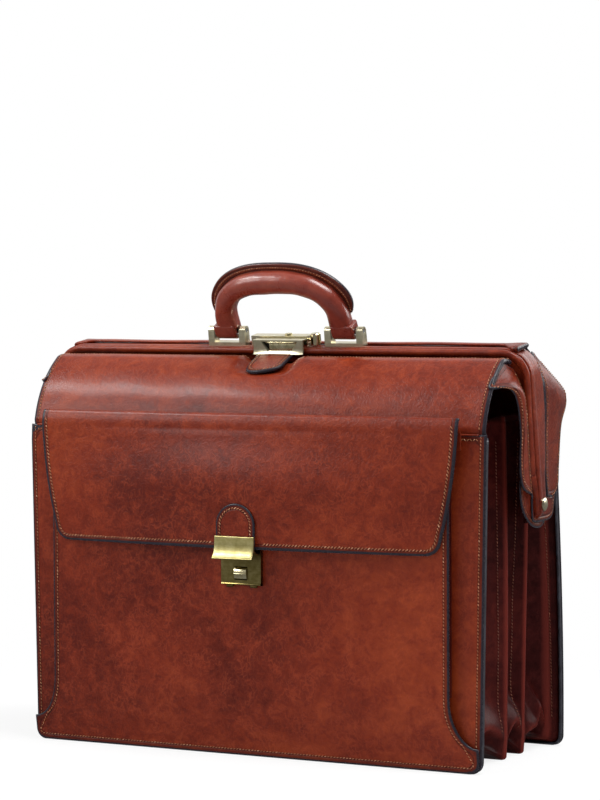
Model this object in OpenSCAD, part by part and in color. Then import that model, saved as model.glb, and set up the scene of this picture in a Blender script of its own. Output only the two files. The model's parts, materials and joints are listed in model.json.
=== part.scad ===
// Framed leather briefcase with a pleated gusset, a flap pocket and a hinged top frame.
// X runs across the front, -Y is the front, Z is up. The floor is z = 0.

/* [Bag] */
// Width of the front and rear panels at the floor
panel_w = 428; // [400:1:450]
// Distance from the middle to the front panel at the floor
front_reach = 72.5; // [65:0.5:80]
// Distance from the middle to the rear panel at the floor
rear_reach = 104; // [96:0.5:112]
// Thickness of the panel leather
panel_t = 2.6; // [2:0.1:3]
// Height of the seam where the front panel meets the front shoulder
seam_z = 278; // [274:1:282]

/* [Gusset] */
// Thickness of the gusset leather
gusset_t = 1.8; // [1.2:0.1:2]
// Distance of the pleat ridges inside the panel edges
ridge_inset = 13.5; // [10:0.5:16]
// Distance of the pleat valleys inside the panel edges
valley_inset = 26; // [22:0.5:30]
// Height of the two dividers
divider_h = 262; // [230:1:266]

/* [Frame] */
// Width over the outer frame half
frame_w = 459; // [456:1:470]
// Height of the frame's pivots above the floor
pivot_z = 216; // [212:1:220]
// Distance from the pivots to the top of the frame
frame_h = 134; // [132:1:136]
// Forward lean of the closed frame in degrees
lean = 10.5; // [8:0.5:12]
// Radius of the frame's outer corners
frame_r = 24; // [22:1:28]

/* [Pocket and flap] */
// Width of the pocket
pocket_w = 380; // [360:1:384]
// Height of the pocket's opening
pocket_h = 262; // [250:1:264]
// Room inside the pocket
pocket_gap = 7.6; // [6:0.2:9]
// Width of the flap at its fold
flap_w = 398; // [380:1:400]
// Height of the flap's lower edge
flap_low = 178; // [174:1:182]
// How far the middle of the flap stands out
flap_bulge = 9.5; // [6:0.5:12]

/* [Handle] */
// Distance between the middles of the two handle brackets
bracket_span = 114; // [112:1:118]
// Radius of the padded grip
grip_r = 9.4; // [9:0.1:10]
// Distance from the handle pins to the middle of the grip
grip_rise = 48; // [44:1:50]
// Forward tilt of the handle against the frame in degrees
handle_tilt = 19; // [0:1:30]

/* [Hidden] */
$fn = 48;

leather = "#8a3322";
leather_dark = "#6b2519";
brass = "#a8935a";
brass_bright = "#d8cc96";
steel = "#8d9094";

pivot_y = 20;
panel_corner_r = 14;
flare = 5;            // each panel is this much wider on each side at the height of flare_z
flare_z = 300;
waist_z = 265;        // the front panel's face is straight up to here
waist_out = 2.5;      // and stands this much further out there
shoulder_r = 85.5;
rear_top_z = 292;
rear_lean_z = 245;    // the rear panel leans in up to here
rear_lean = 25.4;
bead_r = 3;
outer_t = 5;          // thickness of the outer frame half
nest = 8.5;           // step from the outer half down to the nested half
nested_t = 4;
leg_low = 12;         // how far the legs run below the pivots
flange_low = 27;      // foot of the front flange above the pivots
rivet_r = 2.6;
run = 0.05;           // running clearance round the pins
pin_z = 147;          // handle pins above the pivots, along the frame
pin_r = 2;
flap_axis = [-83, 286.5];
flap_t = 2.6;
lock_x = -3;

// Points on an arc, centre c, radius r, from angle a to angle b
function arc(c, r, a, b, n) = [for (k = [0:n]) let (t = a + (b - a) * k / n) c + r * [cos(t), sin(t)]];
function mix(a, b, t) = a + (b - a) * t;
function tangent(p, i) = let (d = p[min(i + 1, len(p) - 1)] - p[max(i - 1, 0)]) d / norm(d);
// The path moved sideways by t, to its left
function moved(p, t) = [for (i = [0:len(p) - 1]) let (d = tangent(p, i)) p[i] + t * [-d[1], d[0]]];
// Closed outline of a sheet of thickness t that lies left of the path p
function band(p, t) = let (q = moved(p, t)) concat(p, [for (i = [len(p) - 1:-1:0]) q[i]]);

// An outline in (Y, Z) carried along X from -half to half
module along_x(half) rotate([90, 0, 90]) translate([0, 0, -half]) linear_extrude(2 * half) children();
// An outline in (X, Z) carried along Y from y0 to y1
module along_y(y0, y1) translate([0, y1, 0]) rotate([90, 0, 0]) linear_extrude(y1 - y0) children();
// The frame's own coordinates: origin on the pivot line, Z up along the leaning frame
module framed() translate([0, pivot_y, pivot_z]) rotate([lean, 0, 0]) children();
function framed_pt(x, y, z) = [x, pivot_y + y * cos(lean) - z * sin(lean),
    pivot_z + y * sin(lean) + z * cos(lean)];
module both_sides() {
    children();
    mirror([1, 0, 0]) children();
}

// A sheet between two grids of points. Outer skin p, inner skin q, the same size.
module slab(p, q) {
    rows = len(p);
    cols = len(p[0]);
    function at(i, j, s) = s * rows * cols + i * cols + j;
    function quad(a, b, c, d) = [[a, b, c], [a, c, d]];
    polyhedron(
        points = concat([for (r = p) each r], [for (r = q) each r]),
        faces = concat(
            [for (i = [0:rows - 2], j = [0:cols - 2])
                each quad(at(i, j, 0), at(i, j + 1, 0), at(i + 1, j + 1, 0), at(i + 1, j, 0))],
            [for (i = [0:rows - 2], j = [0:cols - 2])
                each quad(at(i, j, 1), at(i + 1, j, 1), at(i + 1, j + 1, 1), at(i, j + 1, 1))],
            [for (j = [0:cols - 2])
                each quad(at(0, j, 0), at(0, j, 1), at(0, j + 1, 1), at(0, j + 1, 0))],
            [for (j = [0:cols - 2], m = rows - 1)
                each quad(at(m, j, 0), at(m, j + 1, 0), at(m, j + 1, 1), at(m, j, 1))],
            [for (i = [0:rows - 2])
                each quad(at(i, 0, 0), at(i + 1, 0, 0), at(i + 1, 0, 1), at(i, 0, 1))],
            [for (i = [0:rows - 2], m = cols - 1)
                each quad(at(i, m, 0), at(i, m, 1), at(i + 1, m, 1), at(i + 1, m, 0))]));
}

// Front face, rear face and divider positions at a height
function half_w(z) = panel_w / 2 + flare * z / flare_z;
function front_y(z) = -front_reach - waist_out * min(z, waist_z) / waist_z
    + max(0, z - waist_z) / (seam_z - waist_z);
function rear_y(z) = rear_reach - rear_lean * pow(min(z, rear_lean_z) / rear_lean_z, 1.6);
function ridge_front_y(z) = 8.4 - 12.4 * pow(z / divider_h, 2);
ridge_rear_y = 45;

// Outline of a panel from the floor up to a height, inset from its edges
function panel_outline(top, inset = 0, low = 0, r = panel_corner_r) =
    let (c = half_w(0) - inset - r)
    concat(arc([c, low + r], r, -90, 0, 6), [[half_w(top) - inset, top], [inset - half_w(top), top]],
        arc([-c, low + r], r, 180, 270, 6));

module front_panel() {
    face = [for (z = [0, waist_z, seam_z]) [front_y(z), z]];
    color(leather) intersection() {
        along_x(panel_w) polygon(band(face, -panel_t));
        along_y(-200, 0) polygon(panel_outline(seam_z));
    }
}

// The soft leather that rolls over from the front panel to the frame, pressed in under the pull tab
shoulder_t = 2.2;
shoulder_half = 216.7;
tab_dip = 6.2;
module front_shoulder() {
    c = [front_y(waist_z) + shoulder_r, waist_z];
    lap = [[front_y(waist_z) + panel_t + 0.4, seam_z - 14], [front_y(waist_z) + panel_t + 1.2, seam_z]];
    roll = concat(arc(c, shoulder_r, 180 - asin((seam_z + 0.3 - waist_z) / shoulder_r), 122, 12),
        [[-27, 338.8], [-18, 337.6]]);
    stations = concat([-shoulder_half, -110, -40], [for (d = [-27, -23, -19.5, 0, 19.5, 23, 27]) tab_x + d],
        [40, 110, shoulder_half]);
    function skin(deep) = [for (i = [len(roll) - 1:-1:0]) let (d = tangent(roll, i)) [for (x = stations)
        let (q = roll[i] + (deep + dip(x - tab_x, roll[i][1])) * [d[1], -d[0]]) [x, q[0], q[1]]]];
    color(leather) {
        slab(skin(0), skin(shoulder_t));
        along_x(205) polygon(band(lap, -1.4));
    }
}
function dip(x, z) = tab_dip * rise((27 - abs(x)) / 7.5) * rise((z - 312) / 18);

module rear_panel() {
    face = [for (z = [0:35:rear_lean_z]) [rear_y(z), z]];
    color(leather) intersection() {
        along_x(panel_w) polygon(band(concat(face, [[rear_y(rear_top_z), rear_top_z]]), panel_t));
        along_y(0, 200) polygon(panel_outline(rear_top_z));
    }
}

// The soft leather that rolls over from the rear panel to the frame
module rear_shoulder() {
    r = 18;
    top = framed_pt(0, rear_back + 2.8, frame_h - 3);
    roll = arc([rear_y(rear_top_z) - r, rear_top_z + 0.3], r, 0, 56, 6);
    color(leather) along_x(216.5) polygon(band(concat(roll, [[top[1], top[2]]]), 2.4));
}

// Each pleat point is [share of the way between the walls before and after it, side inset, floor inset].
// Walls are 0 the front panel, 1 the front divider, 2 the rear divider and 3 the rear panel.
pleat = [[0, 1.5, 1.5], [0.5, valley_inset, 12], [1, ridge_inset, 0, -2.2], [1, ridge_inset, 0, 2.2],
    [1.5, valley_inset, 12], [2, ridge_inset, 0, -2.2], [2, ridge_inset, 0, 2.2],
    [2.5, valley_inset, 12], [3, 1.5, 1.5]];
function wall_y(k, z) = [front_y(z) + panel_t + 0.2, ridge_front_y(z), ridge_rear_y,
    rear_y(z) - panel_t - 0.2][k];
function pleat_y(v, z) = mix(wall_y(floor(v[0]), z), wall_y(ceil(v[0]), z), v[0] - floor(v[0]))
    + (len(v) > 3 ? v[3] : 0);
function pleat_r(v) = max(3, panel_corner_r - 1.5 - v[1] / 3);
// One station of the gusset: heights run down the side, then angles run round the floor corner
gusset_heights = [290, 262, 245, 210, 175, 140, 105, 75, 50];
gusset_turns = [0, 22.5, 45, 67.5, 90];
function side_point(v, z, deep) = let (h = min(z, mix(276, 290, min(v[0], 1))))
    [half_w(h) - v[1] - deep, pleat_y(v, h), h];
function turn_point(v, a, deep) = let (r = pleat_r(v), low = v[2] + deep, z = low + r * (1 - sin(a)))
    [half_w(0) - v[1] - deep - r * (1 - cos(a)), pleat_y(v, z), z];
function gusset_half(deep) = concat(
    [for (z = gusset_heights) [for (v = pleat) side_point(v, z, deep)]],
    [for (a = gusset_turns) [for (v = pleat) turn_point(v, a, deep)]]);
function gusset_grid(deep) = let (h = gusset_half(deep))
    concat(h, [for (i = [len(h) - 1:-1:0]) [for (p = h[i]) [-p[0], p[1], p[2]]]]);

// One strip of leather, folded in pleats, that runs down one side, under the bag and up the other
module gusset() color(leather_dark) slab(gusset_grid(0), gusset_grid(gusset_t));

module divider(y_at) {
    t = 2.4;
    line = [for (z = [2.2, 60, 120, 180, 225, divider_h]) [y_at(z) + t / 2, z]];
    color(leather_dark) intersection() {
        along_x(panel_w) polygon(band(line, t));
        along_y(-100, 100) polygon(panel_outline(divider_h, ridge_inset + gusset_t + 0.4, 2.2, 6));
    }
}
module divider_front() divider(function (z) ridge_front_y(z));
module divider_rear() divider(function (z) ridge_rear_y);

// The pocket stands off the panel and comes down onto it at the foot
function rise(t) = let (s = min(max(t, 0), 1)) s * s * (3 - 2 * s);
function pocket_y(z) = front_y(z) - panel_t - 0.2 - pocket_gap * rise(z / 60);

module pocket_front() {
    side = pocket_w / 2;
    spread = half_w(20) - side - 0.5;
    foot = panel_outline(21, 0.8, 0.3);
    flare_curve = [for (a = [90:-15:0]) [side + spread * (1 - cos(a)), 60 - 39 * sin(a)]];
    left = [for (i = [len(flare_curve) - 1:-1:0]) [-flare_curve[i][0], flare_curve[i][1]]];
    outline = concat([for (i = [0:6]) foot[i]], flare_curve, [[side, pocket_h], [-side, pocket_h]],
        left, [for (i = [9:15]) foot[i]]);
    face = concat([for (z = [0:12:60]) [pocket_y(z), z]], [[pocket_y(pocket_h), pocket_h]]);
    color(leather) difference() {
        intersection() {
            along_x(panel_w) polygon(band(face, -panel_t));
            along_y(-200, 0) polygon(outline);
        }
        translate([-6.4, -100, 151.1]) cube([12.8, 25, 11.8]);
    }
}

module pocket_gusset() {
    face = [for (z = [62, pocket_h - 4]) [pocket_y(z) + panel_t + 0.1, z]];
    wall = [for (z = [pocket_h - 4, 62]) [front_y(z) - 0.1, z]];
    color(leather_dark) both_sides()
        translate([pocket_w / 2 - 4, 0, 0]) rotate([90, 0, 90]) linear_extrude(2)
            polygon(concat(face, wall));
}

// Fixed leather behind the pocket flap, ending in the rolled fold that the flap turns on
module flap_strip() {
    back = front_y(seam_z) - 0.1;
    path = [[back - 3.2, 265], [back - 3.2, 274], [back - 4, 280], [flap_axis[0] - 1.1, 284.8]];
    color(leather) {
        along_x(flap_w / 2 - 2) polygon(band(path, -2.2));
        along_x(flap_w / 2 - 2) translate(flap_axis) circle(2.4);
    }
}

plate_y = pocket_y(pocket_h) - 0.05;
module tuck_plate() {
    color(brass) difference() {
        along_x(19) polygon([[plate_y, 147], [plate_y - 3, 147], [plate_y - 4, 148.2],
            [plate_y - 4, 179.6], [plate_y - 3, 181], [plate_y, 181]]);
        translate([-6.2, plate_y - 10, 151.3]) cube([12.4, 20, 11.4]);
        translate([-10, plate_y - 10, 168.5]) cube([20, 20, 5]);
    }
    color(brass) for (x = [-11.5, 11.5])
        translate([x - 3, plate_y - 1.6, 146.4]) rotate([0, 90, 0]) cylinder(r = 1.5, h = 6);
}

// Metal box behind the pocket leather that guides the tuck lock's button
module tuck_housing() {
    color(steel) difference() {
        translate([-15, -81.2, 148]) cube([30, 5, 28]);
        translate([-14, -82, 149]) cube([28, 4.6, 26]);
    }
}

module tuck_button() {
    y = plate_y - 6.5;
    color(brass_bright) difference() {
        translate([-6, y, 151.5]) cube([12, 6.5, 11]);
        for (a = [0, 1]) translate([0, y, 157]) mirror([0, 0, a]) translate([-7, 0, 5.5])
            rotate([0, 90, 0]) rotate(45) cube([1.6, 1.6, 28], center = true);
    }
    color(steel) translate([-3, y + 6.5, 154]) cube([6, 2.2, 6]);
}

// Leather straps that stand out from the rear pleat ridge and carry the frame's rivets
module side_straps() {
    path = [[204.8, 52], [204.8, 44], [214.2, 33], [214.2, 12.5]];
    color(leather_dark) both_sides() difference() {
        translate([0, 0, 200]) linear_extrude(32) polygon(band(path, 2.3));
        translate([200, pivot_y, pivot_z]) rotate([0, 90, 0]) cylinder(r = rivet_r + 0.02, h = 20);
    }
}

module pivot_rivets() {
    color(brass) both_sides() translate([0, pivot_y, pivot_z]) rotate([0, 90, 0]) {
        translate([0, 0, 211.6]) cylinder(r = rivet_r, h = frame_w / 2 - 211.6 + 0.6);
        translate([0, 0, 211.6]) cylinder(r = 6, h = 2);
        translate([0, 0, frame_w / 2 + 0.3]) cylinder(r = 5.5, h = 1);
        translate([0, 0, frame_w / 2 + 1.3]) cylinder(r1 = 5.5, r2 = 3.8, h = 1);
    }
}

// Outline of an upside-down U with round corners: half width w, top z, corner radius r, leg foot low
module arch(w, top, r, low) {
    translate([-w, low]) square([2 * w, top - r - low]);
    translate([r - w, top - r - 1]) square([2 * (w - r), r + 1]);
    for (x = [r - w, w - r]) translate([x, top - r]) circle(r, $fn = 96);
}
// The same U as a strip of thickness t
module arch_strip(w, top, r, low, t) difference() {
    arch(w, top, r, low);
    arch(w - t, top - t, r - t, low - 1);
}
module leg_bores(r) rotate([0, 90, 0]) cylinder(r = r, h = frame_w + 40, center = true);

nested_w = frame_w / 2 - nest;
nested_top = frame_h - nest;
nested_r = frame_r - nest;

// The front half: a leather covered strip nested under the rear half
module front_cover() color(leather) framed() difference() {
    along_y(-6.6, 8) arch_strip(nested_w, nested_top, nested_r, -leg_low, nested_t);
    along_y(-5.6, 6.6) arch_strip(nested_w - 1.2, nested_top - 1.2, nested_r - 1.2, 8 - leg_low, 1.6);
    leg_bores(rivet_r + run);
}
// The flange in front of it, with a round bead along its outer edge
module front_bead() {
    w = frame_w / 2;
    color(leather) framed() {
        along_y(-12, -6.8) arch_strip(w - 1, frame_h - 1, frame_r - 1, flange_low, 11.5);
        bead_run(w - bead_r, frame_h - bead_r, frame_r - bead_r, flange_low);
    }
}
// Straight runs of the bead and its quarter turns at the corners
module bead_run(x, z, r, low) translate([0, -9.8, 0]) {
    translate([-(x - r), 0, z]) rotate([0, 90, 0]) cylinder(r = bead_r, h = 2 * (x - r));
    both_sides() {
        translate([x, 0, low]) cylinder(r = bead_r, h = z - r - low);
        translate([x - r, 0, z - r]) rotate([90, 0, 0]) rotate_extrude(angle = 90, $fn = 96)
            translate([r, 0]) circle(bead_r);
    }
}
module front_bar() color(steel) framed() difference() {
    along_y(-5.5, 6.5) arch_strip(nested_w - 1.25, nested_top - 1.25, nested_r - 1.25, 8.1 - leg_low, 1.5);
    leg_bores(rivet_r + run);
}

// The rear half: the outer strip that carries the handle and the lock. Its back part is a little lower.
rear_step = 1.5;
rear_back = 15;
module rear_cover() {
    w = frame_w / 2;
    color(leather) framed() difference() {
        union() {
            along_y(-6.4, 3.6) arch_strip(w, frame_h, frame_r, -leg_low, outer_t);
            along_y(3, rear_back) arch_strip(w - rear_step, frame_h - rear_step, frame_r - rear_step, -leg_low,
                outer_t - rear_step);
        }
        along_y(-4.6, 9.4) arch_strip(w - 2.6, frame_h - 2.6, frame_r - 2.6, 8 - leg_low, 1.4);
        leg_bores(rivet_r + run);
    }
}
// Leather caps that widen the feet of the legs below the front flange
module leg_caps() color(leather) framed() both_sides()
    translate([frame_w / 2 - outer_t, -12.4, -leg_low]) cube([outer_t, 5.9, leg_low + 22.5]);
module rear_bar() color(steel) framed() difference() {
    along_y(-4.5, 9.3) arch_strip(frame_w / 2 - 2.65, frame_h - 2.65, frame_r - 2.65, 8.1 - leg_low, 1.3);
    leg_bores(rivet_r + run);
}

// Stitched leather ends round the pivots, outlines in (Y, Z) from the pivot
front_tab = [[10.5, -13], [10, 14], [-10, 23], [-31, 23], [-29, 15], [-27.2, 8.6], [-24.6, 0.6],
    [-22.4, -3.4], [-19.8, -7.3], [-16.5, -11.2], [-12.5, -14.9], [-8, -17.6], [-3, -19.6], [5, -20.6],
    [12, -19.6], [16.5, -16.8]];
rear_tab = concat([[-12, 8], [-19, 4]], arc([0, 0], 14.5, 200, 280, 6),
    [[22, -14], [29, -11.5], [33.5, -6.5], [36, 1], [37, 9]]);
module tab(outline, x) color(leather) both_sides() translate([x, pivot_y, pivot_z])
    rotate([90, 0, 90]) linear_extrude(1.4) difference() {
        polygon(outline);
        circle(rivet_r + run);
    }
module front_tabs() tab(front_tab, 221.1);
module rear_tabs() tab(rear_tab, 222.95);

// A wing is a sheet from its free edge to its edge on the frame, thickened inwards
module wing(free, held, swell, t) {
    function sheet(deep) = [for (i = [0:len(free) - 1]) [for (s = [0:0.25:1])
        mix(free[i], held[i], s) + [swell[i] * sin(180 * s) - deep, 0, 0]]];
    slab(sheet(0), sheet(t));
}
front_wing_free = [[219.2, -30, 335.5], [219.4, -46, 327], [220, -59, 317.4], [222, -48, 315.8],
    [224, -37, 312.2], [224.6, -29, 306], [224.8, -23, 293], [225, -19, 276], [225, -17.6, 254],
    [225, -10, 235.5], [224.9, -2, 228]];
front_wing_held = [for (p = [[219, 118.5], [219.5, 113.5], [220.5, 107.5], [221.5, 103], [222.5, 98],
    [223.2, 92], [223.8, 81], [224.1, 63], [224.5, 40], [224.7, 22], [224.8, 11.5]])
    framed_pt(p[0], -13.6, p[1])];
rear_wing_free = [[219.5, 17, 345], [222, 46, 328], [224.6, 75, 311], [225.6, 78.8, 303], [225.6, 77.5, 295],
    [225.5, 68, 279], [225.5, 63.5, 246], [225, 57, 227]];
rear_wing_held = [for (p = [[219.5, 126.5], [221, 120], [223, 111], [224.3, 101], [224.3, 91], [224.3, 74],
    [224.3, 42], [224.3, 13]]) framed_pt(p[0], 13.8, p[1])];
module front_wing_right() color(leather)
    wing(front_wing_free, front_wing_held, [0, 1, 2, 2.2, 2, 1.5, 1, 0.6, 0.3, 0.1, 0], 1.8);
module front_wing_left() mirror([1, 0, 0]) front_wing_right();
module rear_wing_right() color(leather)
    wing(rear_wing_free, rear_wing_held, [0.5, 1.5, 2, 1.8, 1.5, 1, 0.5, 0.2], 1.8);
module rear_wing_left() mirror([1, 0, 0]) rear_wing_right();

// Front plate of the frame lock, with a window where the bolt plate behind it shows
module lock_faceplate() {
    color(brass) framed() difference() {
        union() {
            translate([lock_x - 23, -15.4, frame_h - 5]) cube([48.7, 1.5, 12.5]);
            translate([lock_x - 23, -15.4, frame_h + 6]) cube([48.7, 8.4, 1.5]);
        }
        along_y(-20, -12) window([16.4, 5.6], [10.9, -2]);
    }
}
// Trapezoid in front of the frame, [half width, height over the frame] at its top and foot
module window(top, foot) translate([lock_x + 2.9, frame_h])
    polygon([[-top[0], top[1]], top, foot, [-foot[0], foot[1]]]);
module lock_bolt_plate() color(brass_bright) framed()
    along_y(-13.8, -12.9) window([18.6, 5.9], [13, -3.6]);
module lock_case() color(brass) framed() difference() {
    translate([lock_x - 30, -4.6, frame_h + 0.1]) cube([54.5, 11, 8.8]);
    translate([lock_x + 18, -1, frame_h + 5]) rotate([0, 90, 0]) cylinder(r = 1.6, h = 10);
    translate([lock_x + 4, 1, frame_h + 6]) cylinder(r = 3.25, h = 5);
}
module lock_knob() color(brass_bright) framed() {
    translate([28.2, -1, frame_h + 1.2]) cylinder(r = 4.6, h = 9);
    translate([28.2, -1, frame_h + 10.2]) cylinder(r1 = 4.6, r2 = 3.8, h = 0.8);
    translate([lock_x + 19, -1, frame_h + 5]) rotate([0, 90, 0]) cylinder(r = 1.55, h = 10);
}
module key_barrel() color(brass_bright) framed() translate([lock_x + 4, 1, frame_h + 6.05]) difference() {
    cylinder(r = 3.2, h = 4.2);
    translate([-2.4, -0.5, 2]) cube([4.8, 1, 3]);
}

// Leather tongue under the lock, turning on the fold at its root
tab_axis = [-20.5, 339.7];
tab_x = lock_x + 0.7;
tab_half = 17.3;
module pull_tab() {
    under = [[tab_axis[0], tab_axis[1] - 1.5], [-25, 336.9], [-35, 332], [-46, 326.5], [-56, 322.7]];
    color(leather) {
        intersection() {
            along_x(40) polygon(band(under, -3));
            translate([tab_x, 0, 300]) linear_extrude(60) {
                translate([-tab_half, -40.5]) square([2 * tab_half, 20.5]);
                translate([0, -40]) scale([1, 0.84]) circle(tab_half);
            }
        }
        translate([tab_x, tab_axis[0], tab_axis[1]]) rotate([0, 90, 0])
            cylinder(r = 1.5, h = 2 * tab_half, center = true);
    }
}

bracket_w = 36.4;
ear_t = 6;
ear_r = 4;
pin_y = -1;
module bracket(x) color(brass) framed() translate([x, pin_y, 0]) {
    difference() {
        union() {
            translate([-bracket_w / 2, -4.6, frame_h + 0.1]) cube([bracket_w, 9.2, 3]);
            for (side = [-bracket_w / 2, bracket_w / 2 - ear_t]) translate([side, 0, 0])
                rotate([90, 0, 90]) linear_extrude(ear_t) {
                    polygon([[-4.6, frame_h + 3], [4.6, frame_h + 3], [ear_r, pin_z], [-ear_r, pin_z]]);
                    translate([0, pin_z]) circle(ear_r);
                }
        }
        translate([0, 0, pin_z]) rotate([0, 90, 0]) cylinder(r = pin_r + 0.01, h = 50, center = true);
    }
}
module bracket_left() bracket(-bracket_span / 2);
module bracket_right() bracket(bracket_span / 2);
module handle_pins() color(steel) framed() for (x = [-1, 1] * bracket_span / 2)
    translate([x, pin_y, pin_z]) rotate([0, 90, 0]) cylinder(r = pin_r, h = bracket_w - 0.4, center = true);

// The handle's own coordinates: origin between the pins, Z up through the grip
module held() framed() translate([0, pin_y, pin_z]) rotate([handle_tilt, 0, 0]) children();
// Centre line of the grip: a flattened arch between the two loops
grip_half = 55;
grip_foot = 9;
grip_back = 7.6;      // the back of the grip is flat, this far behind its centre line
loop_w = 20.5;
loop_r = 7.3;
function grip_line(n) = [for (k = [0:n]) let (a = 180 * k / n)
    [grip_half * sign(cos(a)) * pow(abs(cos(a)), 0.8), grip_foot + (grip_rise - grip_foot) * pow(sin(a), 0.8)]];

module handle_grip() {
    line = grip_line(26);
    sides = 16;
    n = len(line);
    ring = [for (i = [0:n - 1]) let (d = tangent(line, i), c = line[i])
        [for (k = [0:sides - 1]) let (a = 360 * (k + 0.5) / sides, back = sin(a) > 0,
            out = grip_r * (back ? sign(cos(a)) * pow(abs(cos(a)), 0.5) : cos(a)),
            deep = back ? grip_back * pow(sin(a), 0.6) : grip_r * sin(a))
            [c[0] - d[1] * out, deep, c[1] + d[0] * out]]];
    color(leather) held() polyhedron(
        points = [for (r = ring) each r],
        faces = concat(
            [for (i = [0:n - 2], k = [0:sides - 1]) let (a = i * sides + k, b = i * sides + (k + 1) % sides)
                each [[a, b, b + sides], [a, b + sides, a + sides]]],
            [[for (k = [sides - 1:-1:0]) k], [for (k = [0:sides - 1]) (n - 1) * sides + k]]));
}
// The stitched seam of two layers that stands along the outside of the grip, level with its back
welt_h = 7.2;
welt_y = [3.6, 8.2];
module handle_welt() {
    line = [for (p = grip_line(36)) if (p[1] > grip_foot + 2) p];
    n = len(line) - 1;
    outer = [for (i = [0:n]) line[i] - (grip_r + 0.1 + welt_h * pow(sin(180 * (i + 0.6) / (n + 1.2)), 0.25))
        * [-tangent(line, i)[1], tangent(line, i)[0]]];
    inner = moved(line, -(grip_r + 0.1));
    color(leather_dark) held() along_y(welt_y[0], welt_y[1])
        polygon(concat(outer, [for (i = [n:-1:0]) inner[i]]));
}
// Leather loops that hold the grip on its pins
module handle_loops() color(leather) held() for (s = [-1, 1]) translate([s * bracket_span / 2, 0, 0])
    difference() {
        union() {
            rotate([0, 90, 0]) cylinder(r = loop_r, h = loop_w, center = true);
            translate([-loop_w / 2, -loop_r, 0]) cube([loop_w, 2 * loop_r, grip_foot - 0.9]);
        }
        rotate([0, 90, 0]) cylinder(r = pin_r + run, h = 50, center = true);
    }

// The flap: round the fold, then down the front, bowed out in the middle
flap_side = flap_w / 2;
function flap_half(z) = z > 193 ? flap_side - 14 * pow(1 - min((z - 192) / 93, 1), 1.7)
    : flap_side - 29 + sqrt(max(0, 225 - pow(193 - z, 2)));
function flap_row(z, d) = [for (u = [-1:0.2:1.001]) [u * flap_half(z),
    flap_axis[0] - 5.5 - flap_bulge * (1 - u * u) * rise((284 - z) / 26) + d, z]];
function flap_bend(a, r) = [for (u = [-1:0.2:1.001]) [u * flap_side,
    flap_axis[0] + r * cos(a), flap_axis[1] + r * sin(a)]];
module flap() {
    rows = [280, 272, 264, 256, 240, 222, 206, 193, 188, 183, 180, flap_low];
    bends = [100, 120, 140, 160, 180];
    color(leather) slab(
        concat([for (a = bends) flap_bend(a, 5.5)], [for (z = rows) flap_row(z, 0)]),
        concat([for (a = bends) flap_bend(a, 5.5 - flap_t)], [for (z = rows) flap_row(z, flap_t)]));
}
flap_mid = flap_axis[0] - 5.5 - flap_bulge;
module flap_patch() color(leather) along_y(flap_mid - 2.1, flap_mid - 0.1) {
    difference() {
        union() {
            translate([-18.5, 187]) square([37, 11]);
            translate([0, 198]) circle(18.5);
        }
        translate([-20, 170]) square([40, 17]);
    }
}
// Brass clip round the flap's edge; its tooth enters the tuck plate
module flap_clip() {
    y = flap_mid;
    path = [[y - 2.2, 186.9], [y - 5, 185.6], [y - 6, 182], [y - 4.6, 178], [y + 1.5, 174.8], [y + 6.2, 172.6]];
    color(brass) along_x(19) polygon(band(path, 1.7));
    color(brass) translate([-8, y + 6, 170.6]) cube([16, 6.4, 1.8]);
}

front_panel();
front_shoulder();
rear_panel();
rear_shoulder();
gusset();
divider_front();
divider_rear();
pocket_front();
pocket_gusset();
flap_strip();
tuck_plate();
tuck_housing();
side_straps();
pivot_rivets();
front_bar();
front_cover();
front_bead();
front_wing_left();
front_wing_right();
front_tabs();
lock_faceplate();
pull_tab();
rear_bar();
rear_cover();
leg_caps();
rear_wing_left();
rear_wing_right();
rear_tabs();
lock_case();
lock_bolt_plate();
bracket_left();
bracket_right();
handle_pins();
lock_knob();
key_barrel();
handle_grip();
handle_welt();
handle_loops();
flap();
flap_patch();
flap_clip();
tuck_button();
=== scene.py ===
import json
import math

import bmesh
import bpy
import numpy as np
from mathutils import Matrix, Vector


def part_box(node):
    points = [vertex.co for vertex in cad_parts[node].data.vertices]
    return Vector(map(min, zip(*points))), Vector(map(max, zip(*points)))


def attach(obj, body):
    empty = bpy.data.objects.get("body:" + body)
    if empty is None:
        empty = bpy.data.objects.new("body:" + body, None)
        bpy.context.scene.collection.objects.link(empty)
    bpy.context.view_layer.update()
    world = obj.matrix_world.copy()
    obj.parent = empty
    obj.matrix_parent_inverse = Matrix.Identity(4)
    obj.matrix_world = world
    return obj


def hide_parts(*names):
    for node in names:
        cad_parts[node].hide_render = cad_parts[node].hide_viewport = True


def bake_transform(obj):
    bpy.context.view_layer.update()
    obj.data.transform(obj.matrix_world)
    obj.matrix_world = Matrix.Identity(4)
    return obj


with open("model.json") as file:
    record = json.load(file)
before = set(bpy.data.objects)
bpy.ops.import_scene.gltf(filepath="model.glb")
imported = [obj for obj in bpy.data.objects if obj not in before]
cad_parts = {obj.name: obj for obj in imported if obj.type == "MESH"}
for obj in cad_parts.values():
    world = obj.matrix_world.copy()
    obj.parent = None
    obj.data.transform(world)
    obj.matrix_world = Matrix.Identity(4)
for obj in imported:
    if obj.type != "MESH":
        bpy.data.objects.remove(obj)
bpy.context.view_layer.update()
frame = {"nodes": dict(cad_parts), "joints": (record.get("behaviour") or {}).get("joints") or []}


# Leather, thread and edge paint
# The hides are aniline dyed and lightly glazed, with a fine pebble, soft creases and cloudy colour.
# Their cut edges are sealed with near black paint, and the seams are sewn with waxed orange tan thread.

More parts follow.
